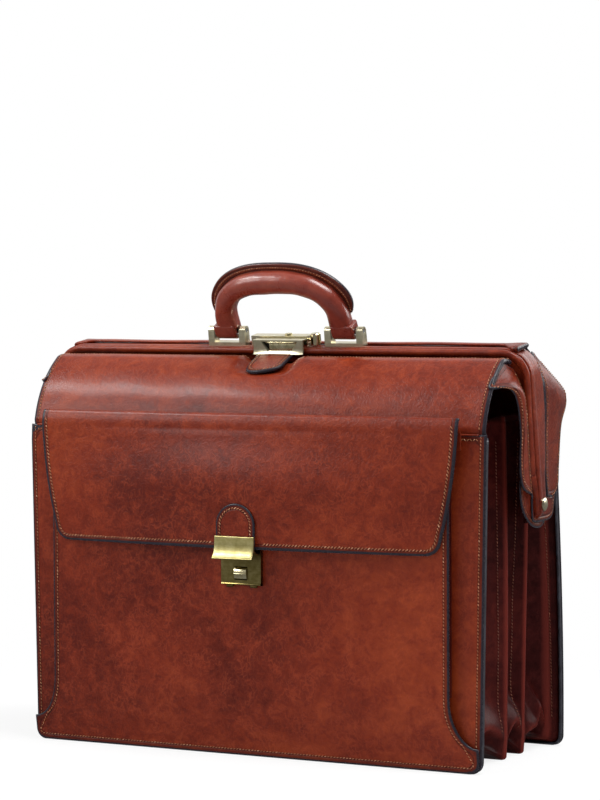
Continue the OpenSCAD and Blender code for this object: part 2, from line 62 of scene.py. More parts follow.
class Wire:
    """A socket in a material's node tree; sums and products with it add the Math nodes."""

    def __init__(self, tree, socket):
        self.tree = tree
        self.socket = socket

    def make(self, kind, settings=None, values=None, out=0):
        """Adds a node of that type, sets its settings and then its sockets, and returns one output."""
        node = self.tree.nodes.new(kind)
        for key, value in (settings or {}).items():
            if key == "stops":
                ramp = node.color_ramp
                while len(ramp.elements) < len(value):
                    ramp.elements.new(0.5)
                for element, (place, tone) in zip(ramp.elements, value):
                    element.position = place
                    element.color = (*tone, 1.0)
            else:
                setattr(node, key, value)
        for key, value in (values or {}).items():
            if isinstance(value, Wire):
                self.tree.links.new(value.socket, node.inputs[key])
            elif value is not None:
                node.inputs[key].default_value = value
        return Wire(self.tree, node.outputs[out])

    def math(self, operation, *operands):
        return self.make("ShaderNodeMath", {"operation": operation}, dict(enumerate(operands)))

    def __add__(self, other):
        return self.math("ADD", self, other)

    def __radd__(self, other):
        return self.math("ADD", other, self)

    def __sub__(self, other):
        return self.math("SUBTRACT", self, other)

    def __rsub__(self, other):
        return self.math("SUBTRACT", other, self)

    def __mul__(self, other):
        return self.math("MULTIPLY", self, other)

    def __rmul__(self, other):
        return self.math("MULTIPLY", other, self)

    def between(self, low, high):
        """0 below low and 1 above high, with a smooth step between them."""
        return self.make("ShaderNodeMapRange", {"interpolation_type": "SMOOTHSTEP"},
                         {"Value": self, "From Min": low, "From Max": high})

    def blend(self, a, b):
        """Colour a where this is 0 and b where it is 1."""
        a = (*a, 1.0) if isinstance(a, tuple) else a
        b = (*b, 1.0) if isinstance(b, tuple) else b
        return self.make("ShaderNodeMix", {"data_type": "RGBA"}, {0: self, 6: a, 7: b}, out=2)


def material(name):
    """An empty material with a Principled shader: returns it, the shader and a wire to build from."""
    made = bpy.data.materials.new(name)
    made.use_nodes = True
    tree = made.node_tree
    shader = next(n for n in tree.nodes if n.type == "BSDF_PRINCIPLED")
    return made, shader, Wire(tree, shader.outputs[0])


def plug(start, shader, socket, wire):
    start.tree.links.new(wire.socket, shader.inputs[socket])


def cloud(start, where, scale, detail=3.0, rough=0.55, warp=0.0, stretch=None):
    """Noise from 0 to 1 on Object coordinates; stretch gives a scale for each axis."""
    if stretch:
        where = start.make("ShaderNodeMapping", None, {"Vector": where, "Scale": stretch})
    return start.make("ShaderNodeTexNoise", None, {
        "Vector": where, "Scale": scale, "Detail": detail, "Roughness": rough, "Distortion": warp})


def hide(name, deep, middle, light, edge=False, gloss=0.4, wax=0.13, crease=1.0, seam=4.6, paint=1.7,
         worn=False, shine=0.15):
    """Glazed leather. With edge, the piece's own distance to its rim paints the rim and sinks the seam;
    with worn, its crests get a painted highlight."""
    made, shader, start = material(name)
    where = start.make("ShaderNodeTexCoord", out=3)
    broad = cloud(start, where, 5.5, 3.0, 0.55, 0.6)
    patches = cloud(start, where, 38.0, 4.0, 0.65, 1.5)
    streaks = cloud(start, where, 110.0, 3.0, 0.6, 0.8, (0.8, 0.8, 1.0))
    pores = start.make("ShaderNodeTexVoronoi", None, {"Vector": where, "Scale": 700.0, "Randomness": 1.0})
    slanted = start.make("ShaderNodeMapping", None, {"Vector": where, "Rotation": (0.4, 0.6, 0.5),
                                                     "Scale": (1.0, 1.0, 0.85)})
    wrinkles = start.make("ShaderNodeTexNoise", {"noise_type": "RIDGED_MULTIFRACTAL"}, {
        "Vector": slanted, "Scale": 290.0, "Detail": 2.0, "Roughness": 0.6, "Lacunarity": 2.1, "Offset": 0.9,
        "Gain": 1.6, "Distortion": 0.5})
    fine = cloud(start, where, 1400.0, 2.0)
    tone = broad * 0.6 + patches * 0.14 + streaks * 0.26
    colour = tone.make("ShaderNodeValToRGB", {"stops": [(0.39, deep), (0.5, middle), (0.62, light)]},
                       {"Fac": tone})
    fold_line = wrinkles.between(0.35, 1.6)
    # Painted highlight: the wrinkle lines are painted paler, as their ridges catching light.
    pale = tuple(c * 1.35 + 0.004 for c in light)
    colour = (fold_line * (0.10 + 0.28 * patches.between(0.42, 0.64)) * crease).blend(colour, pale)
    height = fine * 0.1 + pores * 0.25 + fold_line * (0.55 * crease) + streaks * 0.5 + patches * 1.3
    rough = gloss + (patches - 0.5) * 0.3 - fold_line * 0.05
    # Painted highlight: the crests are painted lighter than the rest of the hide.
    if worn:
        crest = start.make("ShaderNodeAttribute", {"attribute_name": "crest"}, out=2)
        colour = (crest * 0.75).blend(colour, tuple(c * 1.9 for c in light))
    if edge:
        rim = start.make("ShaderNodeAttribute", {"attribute_name": "rim"}, out=2)
        wander = (patches - 0.5) * 0.5
        burnish = 1 - (rim + wander * 2).between(paint, paint + 4.0)
        colour = (burnish * 0.6).blend(colour, tuple(c * 0.5 for c in deep))
        groove = 1 - (rim - seam).math("ABSOLUTE", rim - seam, 0).between(0.3, 1.2)
        colour = (groove * 0.6).blend(colour, tuple(c * 0.4 for c in deep))
        height = height - groove * 2.0
        covered = 1 - (rim + wander * 0.5).between(paint - 0.3, paint + 0.2)
        colour = covered.blend(colour, (0.021, 0.018, 0.024))
        rough = covered.math("MULTIPLY_ADD", covered, -0.12, rough)
    plug(start, shader, "Base Color", colour)
    plug(start, shader, "Roughness", rough.math("MAXIMUM", rough, 0.16))
    bump = start.make("ShaderNodeBump", None, {"Strength": 0.5, "Distance": 0.0004, "Height": height})
    plug(start, shader, "Normal", bump)
    shader.inputs["Specular IOR Level"].default_value = shine
    shader.inputs["Coat Weight"].default_value = wax
    shader.inputs["Coat Roughness"].default_value = 0.2
    return made


def cloud_shift(start, where, amount):
    """The coordinates pushed about by a slow noise, so that cells lose their straight sides."""
    noise = start.make("ShaderNodeTexNoise", None, {"Vector": where, "Scale": 60.0, "Detail": 2.0}, out=1)
    push = start.make("ShaderNodeVectorMath", {"operation": "SCALE"}, {0: noise, "Scale": amount})
    return start.make("ShaderNodeVectorMath", {"operation": "ADD"}, {0: where, 1: push})


cognac = ((0.080, 0.0075, 0.003), (0.148, 0.0160, 0.0045), (0.225, 0.032, 0.007))
# dusk is the darker tone of the gusset, dividers and straps: their darker leather with painted shade of the pleats'
# recesses laid over it.
dusk = ((0.018, 0.002, 0.002), (0.036, 0.0045, 0.004), (0.070, 0.010, 0.007))
edged_leather = hide("cognac_hide_edged", *cognac, edge=True)
plain_leather = hide("cognac_hide", *cognac, edge=False)
# worn=True here gives the pleats' crests a painted highlight.
dark_shaded_leather = hide("pleat_hide", *dusk, gloss=0.46, wax=0.03, crease=0.5, worn=True, shine=0.03)
dark_shaded_edged = hide("pleat_hide_edged", *dusk, edge=True, gloss=0.48, wax=0.04, crease=0.5, seam=3.6, shine=0.06)


def waxed_thread(name, dark, tan, light):
    """Twisted thread with lighter and darker plies."""
    made, shader, start = material(name)
    where = start.make("ShaderNodeTexCoord", out=3)
    shade = cloud(start, where, 420.0, 2.0)
    plies = start.make("ShaderNodeTexWave", {"wave_type": "BANDS", "bands_direction": "DIAGONAL"},
                       {"Vector": where, "Scale": 700.0, "Distortion": 1.0})
    colour = shade.make("ShaderNodeValToRGB", {"stops": [(0.3, dark), (0.55, tan), (0.7, light)]}, {"Fac": shade})
    plug(start, shader, "Base Color", colour)
    plug(start, shader, "Roughness", 0.45 + shade * 0.2)
    plug(start, shader, "Normal", start.make("ShaderNodeBump", None, {
        "Strength": 0.5, "Distance": 0.0002, "Height": plies}))
    return made


thread = waxed_thread("waxed_thread", (0.17, 0.045, 0.014), (0.34, 0.115, 0.038), (0.60, 0.33, 0.19))
# A darker copy of the thread for the gusset's seams: painted shade of the pleats they lie in.
dark_shaded_thread = waxed_thread("dark_shaded_thread", (0.08, 0.018, 0.008), (0.17, 0.045, 0.018), (0.30, 0.10, 0.05))


def edge_paint():
    """Sealed cut edges: near black with a worn, slightly blue sheen."""
    made, shader, start = material("edge_paint")
    where = start.make("ShaderNodeTexCoord", out=3)
    wear = cloud(start, where, 160.0, 4.0, 0.7)
    colour = wear.make("ShaderNodeValToRGB", {"stops": [
        (0.35, (0.010, 0.009, 0.014)), (0.7, (0.035, 0.036, 0.050))]}, {"Fac": wear})
    plug(start, shader, "Base Color", colour)
    plug(start, shader, "Roughness", 0.3 + wear * 0.25)
    plug(start, shader, "Normal", start.make("ShaderNodeBump", None, {
        "Strength": 0.4, "Distance": 0.0003, "Height": wear}))
    return made


black_edge = edge_paint()

# Front panel
# One flat hide of the bag's front, stiffened, with round lower corners and painted edges.
# The pocket is sewn onto it, and the soft shoulder is lapped behind its top edge.

MM = 0.001
panel_low, panel_high = (np.array(corner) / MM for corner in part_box("front_panel"))
rear_low, rear_high = (np.array(corner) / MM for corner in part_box("rear_panel"))
flare = 5.0 / 300.0
panel_foot = panel_high[0] - flare * panel_high[2]
panel_r = 9.0
panel_t = 2.6
front_foot = 72.5
waist_z = 265.0
seam_z = panel_high[2]


def half_width(z):
    """Half the panels' width at a height: a slight flare upwards."""
    return panel_foot + flare * z


def front_face(z):
    """Y of the front panel's outer face: it leans out to the waist and back in at the seam."""
    return -front_foot - 2.5 * np.minimum(z, waist_z) / waist_z + np.maximum(0, z - waist_z) / 13.0


def crowd(low, high, step, rim=1.3):
    """Places step apart from low to high, crowded on a quarter round of radius rim at both ends."""
    turn = rim * (1 - np.cos(np.linspace(0, math.pi / 2, 6)))
    middle = np.linspace(low + rim, high - rim, max(3, int(round((high - low) / step))))[1:-1]
    return np.concatenate([low + turn, middle, (high - turn)[::-1]])


def ease(t):
    """Smooth step from 0 to 1."""
    t = np.clip(t, 0, 1)
    return t * t * (3 - 2 * t)


def mix(a, b, t):
    return a + (b - a) * t


def unit(v):
    return v / np.maximum(np.linalg.norm(v, axis=-1, keepdims=True), 1e-9)


def add_mesh(name, points, quads, look, merge=0.0):
    """A mesh piece from (N, 3) points in millimetres and (M, 4) corners, shaded smooth."""
    mesh = bpy.data.meshes.new(name)
    faces = quads if isinstance(quads, list) else np.asarray(quads).tolist()
    mesh.from_pydata((np.asarray(points) * MM).tolist(), [], faces)
    mesh.polygons.foreach_set("use_smooth", np.ones(len(mesh.polygons), bool))
    for one in look if isinstance(look, (list, tuple)) else [look]:
        mesh.materials.append(one)
    piece = bpy.data.objects.new(name, mesh)
    bpy.context.collection.objects.link(piece)
    if merge:
        tidy = bmesh.new()
        tidy.from_mesh(mesh)
        bmesh.ops.remove_doubles(tidy, verts=tidy.verts, dist=merge * MM)
        tidy.to_mesh(mesh)
        tidy.free()
    mesh.update()
    return piece


def grid_quads(rows, cols, start=0, flip=False, wrap=False):
    """Corners of the quads on a rows by cols grid whose points start at that number."""
    i, j = np.meshgrid(np.arange(rows - 1), np.arange(cols if wrap else cols - 1), indexing="ij")
    k = (j + 1) % cols
    quads = np.stack([i * cols + j, i * cols + k, (i + 1) * cols + k, (i + 1) * cols + j], -1).reshape(-1, 4)
    return start + (quads[:, ::-1] if flip else quads)


def facing(grid, out=None):
    """Unit normals of a grid, turned to the side of out, or away from the middle of the bag."""
    normals = unit(np.cross(np.gradient(grid, axis=1), np.gradient(grid, axis=0)))
    away = grid - np.array([0, 10.0, 150.0]) if out is None else np.asarray(out, float)
    return normals if (normals * away).sum(-1).mean() > 0 else -normals


def rim_of(grid):
    """The grid's border as one closed path."""
    return np.concatenate([grid[0, :-1], grid[:-1, -1], grid[-1, :0:-1], grid[:0:-1, 0]])


def distance_to(grid, path):
    """Distance from every point of the grid to a closed path, row by row."""
    a = path
    d = np.roll(path, -1, axis=0) - a
    length = np.maximum((d ** 2).sum(1), 1e-9)
    rows = []
    for row in grid:
        t = np.clip(((row[:, None] - a) * d).sum(-1) / length, 0, 1)
        rows.append(np.sqrt((((a + t[..., None] * d) - row[:, None]) ** 2).sum(-1).min(1)))
    return np.array(rows)


def wide_edge(grid, share=1.0):
    """Distances to the rim for the edge paint, so that it reaches a millimetre further onto the face."""
    rim = distance_to(grid, rim_of(grid))
    return rim - 1.1 * share * np.clip((4.4 - rim) / 1.9, 0, 1)


def round_over(face, normals, rim, thick, round_r=None):
    """Both faces of a cut sheet, outer first: they meet at the rim in a rounded edge.
    Offset from the middle = half the thickness times a quarter circle of the distance to the rim."""
    half = np.broadcast_to(thick, rim.shape) * 0.5
    reach = np.clip(rim / (round_r or half), 0, 1)
    rise = (half * np.sqrt(1 - (1 - reach) ** 2))[..., None]
    middle = face - normals * half[..., None]
    return middle + normals * rise, middle - normals * rise


def mark(piece, name, values):
    """Keeps a number for each point: rim is the distance to the cut edge, crest is 1 where a crest gets a painted
    highlight.
    """
    kept = piece.data.attributes.new(name, "FLOAT", "POINT")
    kept.data.foreach_set("value", values.reshape(-1).astype(np.float32))


def close_seams(piece, reach=0.01):
    """Welds the points that lie together and turns all faces outwards."""
    tidy = bmesh.new()
    tidy.from_mesh(piece.data)
    bmesh.ops.remove_doubles(tidy, verts=tidy.verts, dist=reach * MM)
    bmesh.ops.recalc_face_normals(tidy, faces=tidy.faces)
    tidy.to_mesh(piece.data)
    tidy.free()


def cut_hide(name, face, thick, look, round_r=None, out=None, paint=None, crest=None):
    """A cut piece of leather whose outer face is the grid; paint gives other distances for the edge paint."""
    rim = distance_to(face, rim_of(face))
    outer, inner = round_over(face, facing(face, out), rim, thick, round_r)
    rows, cols = face.shape[:2]
    quads = np.concatenate([grid_quads(rows, cols), grid_quads(rows, cols, rows * cols, flip=True)])
    piece = add_mesh(name, np.concatenate([outer.reshape(-1, 3), inner.reshape(-1, 3)]), quads, look)
    mark(piece, "rim", np.tile((rim if paint is None else paint).reshape(-1), 2))
    if crest is not None:
        mark(piece, "crest", np.tile(crest.reshape(-1), 2))
    close_seams(piece)
    return piece


def patch_hide(name, outline, centre, to_space, thick, look, out, round_r=None):
    """A small piece cut to a closed outline in its own plane, built of rings round its centre.
    to_space takes flat (..., 2) points to (..., 3) points on the outer face."""
    span = np.linalg.norm(outline - centre, axis=1).mean()
    shares = np.concatenate([np.linspace(0.03, 0.86, 9), 1 - 1.6 / span * np.linspace(1, 0, 9)[:-1] ** 1.5, [1.0]])
    flat = centre + (outline - centre) * shares[:, None, None]
    face = to_space(flat)
    normals = unit(np.cross(np.roll(face, -1, axis=1) - np.roll(face, 1, axis=1), np.gradient(face, axis=0)))
    normals *= np.sign((normals * np.asarray(out, float)).sum(-1).mean())
    rim = distance_to(flat, outline)
    rim[-1] = 0
    outer, inner = round_over(face, normals, rim, thick, round_r)
    rows, cols = face.shape[:2]
    points = np.concatenate([outer.reshape(-1, 3), inner.reshape(-1, 3), outer[:1].mean(1), inner[:1].mean(1)])
    k = np.arange(cols)
    count = rows * cols
    faces = np.concatenate([grid_quads(rows, cols, wrap=True), grid_quads(rows, cols, count, True, True)]).tolist()
    faces += np.stack([k, (k + 1) % cols, 0 * k + 2 * count], -1)[:, ::-1].tolist()
    faces += np.stack([count + k, count + (k + 1) % cols, 0 * k + 2 * count + 1], -1).tolist()
    piece = add_mesh(name, points, faces, look)
    mark(piece, "rim", np.concatenate([rim.reshape(-1), rim.reshape(-1), [span, span]]))
    close_seams(piece)
    return piece


def sew(name, path, normals, pitch=2.9, length=2.3, r=0.42, lift=0.16, slant=0.3, zigzag=False,
        look=thread):
    """Saddle stitches along an open path: short threads whose ends dive into the leather.
    Each is a ring swept along s from -1 to 1 at height lift - 0.5 s^4 and radius r (1 - 0.5 s^4); the
    threads lean to one side, or to both by turns in a zigzag."""
    step = np.linalg.norm(np.diff(path, axis=0), axis=1)
    run = np.concatenate([[0], np.cumsum(step)])
    places = np.arange(pitch * 0.5, run[-1], pitch)
    centre = np.stack([np.interp(places, run, path[:, k]) for k in range(3)], 1)
    ahead = np.stack([np.interp(places + 0.5, run, path[:, k]) for k in range(3)], 1)
    behind = np.stack([np.interp(places - 0.5, run, path[:, k]) for k in range(3)], 1)
    up = unit(np.stack([np.interp(places, run, normals[:, k]) for k in range(3)], 1))
    along = unit(ahead - behind)
    side = unit(np.cross(up, along))
    lean_of = np.where(np.arange(len(places)) % 2, slant, -slant)[:, None] if zigzag else slant
    along = unit(along + side * lean_of)
    side = unit(np.cross(up, along))
    s = np.linspace(-1, 1, 6)
    a = np.linspace(0, 2 * math.pi, 6, endpoint=False)
    height = lift - 0.5 * s ** 4
    radius = r * (1 - 0.5 * s ** 4)
    ring = (centre[:, None, None] + along[:, None, None] * (s * length / 2)[None, :, None, None]
            + up[:, None, None] * (height[:, None] + radius[:, None] * np.cos(a))[None, ..., None]
            + side[:, None, None] * (radius[:, None] * np.sin(a))[None, ..., None])
    count = len(places)
    one = np.concatenate([grid_quads(6, 6, 0, wrap=True), [[5, 4, 1, 0], [4, 3, 2, 1]],
                          [[30, 31, 34, 35], [31, 32, 33, 34]]])
    quads = (np.arange(count)[:, None, None] * 36 + one).reshape(-1, 4)
    return add_mesh(name, ring.reshape(-1, 3), quads, look)


def follow(grid, inset, first=0, last=None, lift=0.1, out=None):
    """A seam along the grid's first column, inset along its rows: the path and its normals.
    It takes the rows from first to last."""
    normals = facing(grid, out)
    step = np.linalg.norm(np.diff(grid, axis=1), axis=2)
    run = np.concatenate([np.zeros((len(grid), 1)), np.cumsum(step, axis=1)], axis=1)
    path, up = [], []
    for points, ways, far in list(zip(grid, normals, run))[first:last]:
        path.append([np.interp(inset, far, points[:, k]) for k in range(3)])
        up.append([np.interp(inset, far, ways[:, k]) for k in range(3)])
    return np.array(path) + np.array(up) * lift, np.array(up)


def round_foot(half, z, r):
    """Half width of a sheet with a corner of radius r at its foot, where z counts from the foot."""
    drop = np.clip(r - z, 0, r)
    return half - r + np.sqrt(np.maximum(r * r - drop * drop, 0))


def foot_rows(top, r=panel_r, step=6.0):
    """Heights crowded over the foot's corner arc and at the top edge."""
    corner = r * (1 - np.cos(np.linspace(0, math.pi / 2, 14)))
    rest = crowd(r, top, step)
    return np.concatenate([corner, rest[(rest > r + 1.5)]])


def panel_grid(rows, face_y, u=None):
    """Face points of a panel: X is u times the half width at that height, and Y is a function of it."""
    u = crowd(-1, 1, 0.05, 1.3 / 215) if u is None else u
    z = rows[:, None] + 0 * u
    half = round_foot(half_width(rows), rows, panel_r)[:, None]
    return np.stack([half * u, face_y(z), z], -1)


front_grid = panel_grid(foot_rows(seam_z), front_face)
front_piece = cut_hide("front_panel_hide", front_grid, panel_t, edged_leather)
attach(front_piece, "bag")
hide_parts("front_panel")


def sides_down(inset, top, bottom=True, y_of=front_face, offset=0.0, flip=-1.0):
    """A seam line down the right side, round the foot and up the left, inset from the panel's outline."""
    r = panel_r - inset
    z = np.concatenate([np.linspace(top, panel_r, 90), panel_r - r * np.sin(np.linspace(0, math.pi / 2, 14))])
    a = np.linspace(0, math.pi / 2, 14)
    x = np.concatenate([half_width(z[:90]) - inset, half_width(0) - panel_r + r * np.cos(a)])
    x_all = np.concatenate([x, -x[::-1]])
    z_all = np.concatenate([z, z[::-1]])
    if not bottom:
        x_all, z_all = x, z
    y = y_of(z_all) + offset
    return np.stack([x_all, y, z_all], -1), np.tile([0.0, flip, 0.0], (len(x_all), 1))


path, up = sides_down(4.6, seam_z - 1.0)
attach(sew("front_panel_stitches", path, up), "bag")


def edge_layers(name, y_of, first, last):
    """The folded seam allowances stacked behind a panel's edge, painted together with it."""
    line = sides_down(0.4, seam_z - 3.0, y_of=y_of)[0]
    depth = crowd(first, last, 1.0, 0.8)
    piece = cut_hide(name, line[:, None] + depth[None, :, None] * np.array([0.0, 1.0, 0.0]), 2.0, black_edge)
    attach(piece, "bag")


def tube(name, path, r, look, body, up=(0, 0, 1)):
    """A round cord along an open path, closed at both ends."""
    along = unit(np.gradient(path, axis=0))
    side = unit(np.cross(along, up))
    a = np.linspace(0, 2 * math.pi, 12, endpoint=False)[:, None]
    ring = side[:, None] * np.cos(a) + np.cross(side, along)[:, None] * np.sin(a)
    piece = add_mesh(name, (path[:, None] + r * ring).reshape(-1, 3), grid_quads(len(path), 12, 0, wrap=True), look)
    close_ends(piece)
    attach(piece, body)
    return piece


def close_ends(piece):
    """Caps the open ends of a sweep and turns its faces outwards."""
    tidy = bmesh.new()
    tidy.from_mesh(piece.data)
    bmesh.ops.holes_fill(tidy, edges=tidy.edges)
    bmesh.ops.recalc_face_normals(tidy, faces=tidy.faces)
    tidy.to_mesh(piece.data)
    tidy.free()


edge_layers("front_panel_layers", front_face, panel_t - 0.4, panel_t + 4.4)
x = np.linspace(-1, 1, 180) * (half_width(seam_z) - 6.5)
path = np.stack([x, 0 * x + front_face(seam_z - 4.4), 0 * x + seam_z - 4.4], -1)
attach(sew("front_panel_top_stitches", path, np.tile([0.0, -1.0, 0.0], (len(x), 1)), 2.7, 2.7, 0.4, 0.2, 0.9, True),
        "bag")
tube("front_panel_top_cord", path + [0, 0.3, 4.0], 0.8, plain_leather, "bag")


# Rear panel
# The back of the bag, a single hide that leans in towards the top where the bag narrows.
# It is sewn to the last pleat of the gusset all the way round.

lean_z = 245.0
rear_foot = rear_high[1]
rear_lean = 25.4


def rear_face(z):
    """Y of the rear panel's outer face: a slow curve inwards up to the lean height."""
    return rear_foot - rear_lean * (np.minimum(z, lean_z) / lean_z) ** 1.6


rear_grid = panel_grid(foot_rows(rear_high[2]), rear_face)
rear_piece = cut_hide("rear_panel_hide", rear_grid, panel_t, edged_leather)
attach(rear_piece, "bag")
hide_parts("rear_panel")
edge_layers("rear_panel_layers", rear_face, -panel_t - 4.4, 0.4 - panel_t)
path, up = sides_down(4.6, rear_high[2] - 1, y_of=rear_face, flip=1.0)
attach(sew("rear_panel_stitches", path, up), "bag")


# Shoulders
# Soft leather that rolls over from each panel to the frame, with cut and painted ends at the sides.
# The front one carries the light; it has small waves where it was shaped by hand.

pivot_y, pivot_z = (np.array(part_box("pivot_rivets")).mean(0)[1:] / MM)
lean = math.radians(10.5)


def framed(x, y, z):
    """Points given in the frame's own coordinates: origin on the pivots, Z up along the leaning frame."""
    x, y, z = np.broadcast_arrays(x, y, z)
    return np.stack([x + 0.0, pivot_y + y * math.cos(lean) - z * math.sin(lean),
                     pivot_z + y * math.sin(lean) + z * math.cos(lean)], -1)


def spline(points, count):
    """A smooth path through the points: Catmull-Rom, count points in all."""
    p = np.asarray(points, float)
    q = np.vstack([2 * p[0] - p[1], p, 2 * p[-1] - p[-2]])
    t = np.linspace(0, len(p) - 1 - 1e-9, count)
    i = t.astype(int)
    f = (t - i)[:, None]
    a, b, c, d = q[i], q[i + 1], q[i + 2], q[i + 3]
    return 0.5 * (2 * b + (c - a) * f + (2 * a - 5 * b + 4 * c - d) * f ** 2 + (3 * b - a - 3 * c + d) * f ** 3)


def arc_points(centre, r, first, last, count):
    a = np.radians(np.linspace(first, last, count))
    return np.stack([centre[0] + r * np.cos(a), centre[1] + r * np.sin(a)], -1)


shoulder_r = 85.5
roll_centre = (front_face(waist_z) + shoulder_r, waist_z)
front_roll = np.vstack([
    [[front_face(waist_z) + panel_t + 0.9, seam_z - 14], [front_face(waist_z) + panel_t + 0.6, seam_z - 4]],
    arc_points(roll_centre, shoulder_r, 180 - math.degrees(math.asin((seam_z + 3 - waist_z) / shoulder_r)), 122, 16),
    [[-27, 338.9], [-18.4, 337.6]]])


def along_bag(profile, half, waves, count=130, rim=1.3):
    """A (Y, Z) profile carried across the bag. waves is a function of X and the share along the profile
    that pushes the surface out, in millimetres."""
    line = spline(profile, 70)
    run = np.concatenate([[0], np.cumsum(np.linalg.norm(np.diff(line, axis=0), axis=1))])
    want = crowd(0, run[-1], 1.6 * run[-1] / 70, rim)
    line = np.stack([np.interp(want, run, line[:, k]) for k in range(2)], -1)
    share = want / run[-1]
    x = crowd(-1, 1, 2 / count, rim / 216) * half
    tangent = unit(np.gradient(line, axis=0))
    out = np.stack([-tangent[:, 1], tangent[:, 0]], -1)
    push = waves(x[None, :], share[:, None])
    y = line[:, 0, None] + out[:, 0, None] * push
    z = line[:, 1, None] + out[:, 1, None] * push
    return np.stack([x[None, :] + 0 * y, y, z], -1)


tab_x, tab_dip = -2.3, 6.2


def front_waves(x, s):
    """Slow waves of about half a millimetre, nothing at the sewn edges, and a dip under the pull tab."""
    fade = np.sin(np.pi * np.clip(s, 0, 1)) ** 0.7
    slow = np.sin(x / 31.0 + 1.3) * 0.25 + np.sin(x / 53.0 - 0.4 + 4 * s) * 0.45 + np.sin(x / 14.0 + 7 * s) * 0.12
    dip = tab_dip * ease((31 - np.abs(x - tab_x)) / 13) * ease((s - 0.59) / 0.15)
    return fade * slow - 0.5 * fade * np.exp(-((np.abs(x) - 200) / 14) ** 2) - dip


shoulder_half = np.array(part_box("front_shoulder")[1])[0] / MM
front_shoulder_grid = along_bag(front_roll, shoulder_half, front_waves)
thick_end = ease((np.abs(front_shoulder_grid[..., 0]) - shoulder_half + 9) / 6)
front_shoulder = cut_hide("front_shoulder_hide", front_shoulder_grid, 2.3 + 2.0 * thick_end, edged_leather,
                          paint=wide_edge(front_shoulder_grid, thick_end))
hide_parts("front_shoulder")
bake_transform(front_shoulder)


def end_seams(name, grid):
    """Stitches down both cut ends of a sheet that is carried across the bag."""
    for word, ends in (("left", grid), ("right", grid[:, ::-1])):
        path, up = follow(ends, 5.0, 12, -4)
        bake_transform(sew(f"{name}_{word}", path, up))


end_seams("front_shoulder_stitches", front_shoulder_grid)
path, up = follow(front_shoulder_grid[::-1].transpose(1, 0, 2), 4.5, 4, -4)
keep = np.abs(path[:, 0] - tab_x) > 26
for word, part in (("left", keep & (path[:, 0] < 0)), ("right", keep & (path[:, 0] > 0))):
    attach(sew(f"front_shoulder_top_stitches_{word}", path[part], up[part]), "front_frame")

rear_top = np.array(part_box("rear_panel")[1])[2] / MM
rear_end = framed(0, 17.8, 131.0)
rear_roll = np.vstack([[[rear_face(rear_top) - 2.9, rear_top - 16], [rear_face(rear_top) - 2.7, rear_top - 4]],
                       arc_points((rear_face(rear_top) - 18, rear_top + 0.3), 18, 6, 56, 8),
                       [[40, 332.6], [rear_end[1], rear_end[2]]]])


def rear_waves(x, s):
    fade = np.sin(np.pi * np.clip(s, 0, 1)) ** 0.8
    return fade * (np.sin(x / 45.0 + 2.0) * 0.5 + np.sin(x / 19.0 + 5 * s) * 0.2 - 1.0)


rear_shoulder_grid = along_bag(rear_roll, shoulder_half, rear_waves)
rear_shoulder = cut_hide("rear_shoulder_hide", rear_shoulder_grid, 2.4, edged_leather)
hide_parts("rear_shoulder")
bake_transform(rear_shoulder)
end_seams("rear_shoulder_stitches", rear_shoulder_grid)


# Gusset
# One long strip folded in three pleats: it closes the sides and the bottom and lets the bag open.
# Its ridges are sewn onto the edges of the dividers, and the leather bunches where it turns the corners.

pleats = np.array([  # share from wall to wall, side inset, floor inset
    [0.0, 1.5, 1.5], [0.5, 26.0, 12.0], [1.0, 13.5, 0.0], [1.0, 13.5, 0.0],
    [1.5, 26.0, 12.0], [2.0, 13.5, 0.0], [2.0, 13.5, 0.0], [2.5, 26.0, 12.0], [3.0, 1.5, 1.5]])
ridge_gap = [0, 0, -2.2, 2.2, 0, -2.2, 2.2, 0, 0]
divider_h = np.array(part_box("divider_rear")[1])[2] / MM


def ridge_front(z):
    return 8.4 - 12.4 * (z / divider_h) ** 2


def wall_y(k, z):
    """Y of the front panel, the two ridges and the rear panel at a height."""
    return [front_face(z) + panel_t + 0.2, ridge_front(z), 45.0 + 0 * z, rear_face(z) - panel_t - 0.2][k]


def pleat_line(z, per=12):
    """Across the gusset at a height: side inset, floor inset, Y and how deep in a valley each point is.
    Between a ridge and a valley the inset follows a power curve, sharp at the ridge and round in the valley."""
    parts = []
    for k in range(len(pleats) - 1):
        a, b = pleats[k], pleats[k + 1]
        t = np.linspace(0, 1, per, endpoint=False) if abs(a[1] - b[1]) > 1 else np.linspace(0, 1, 3, endpoint=False)
        bend = 1 - (1 - t) ** 1.7 if b[1] > a[1] else t ** 1.7
        ya = mix(wall_y(int(math.floor(a[0])), z), wall_y(int(math.ceil(a[0])), z), a[0] % 1) + ridge_gap[k]
        yb = mix(wall_y(int(math.floor(b[0])), z), wall_y(int(math.ceil(b[0])), z), b[0] % 1) + ridge_gap[k + 1]
        crest = np.where(abs(a[1] - b[1]) > 1, 0, 0.7 * np.sin(np.pi * t))
        parts.append(np.stack([a[1] + (b[1] - a[1]) * bend - crest, a[2] + (b[2] - a[2]) * bend,
                               ya + (yb - ya) * t, (a[1] + (b[1] - a[1]) * bend - 13.5) / 12.5], -1))
    end = pleats[-1]
    parts.append(np.array([[end[1], end[2], wall_y(3, z) + 0.0, -1.0]]))
    return np.concatenate(parts)


def tuck_line(y):
    """Height of the fold over the last valley's foot."""
    return np.interp(y, [50, 66, 75, 82, 90, 98], [18, 22, 36, 28, 19, 16])


def pucker(z, y, valley):
    """How far the valleys stand out: tucked above the foot into a fold, crisp below and fading upwards."""
    over = z - np.where(y > 50, tuck_line(y), 14 + 17 * valley ** 0.7)
    reach = np.where(y > 50, 17.0, 13.5)
    fold = reach * np.where(over > 0, np.exp(-(over / 17) ** 2), np.exp(-(over / 4) ** 2))
    slack = np.sin(z / 37.0 + y / 21.0) * 0.8 + 1.2 * np.sin(z / 13.0) * np.exp(-z / 120)
    return valley * (fold + slack)


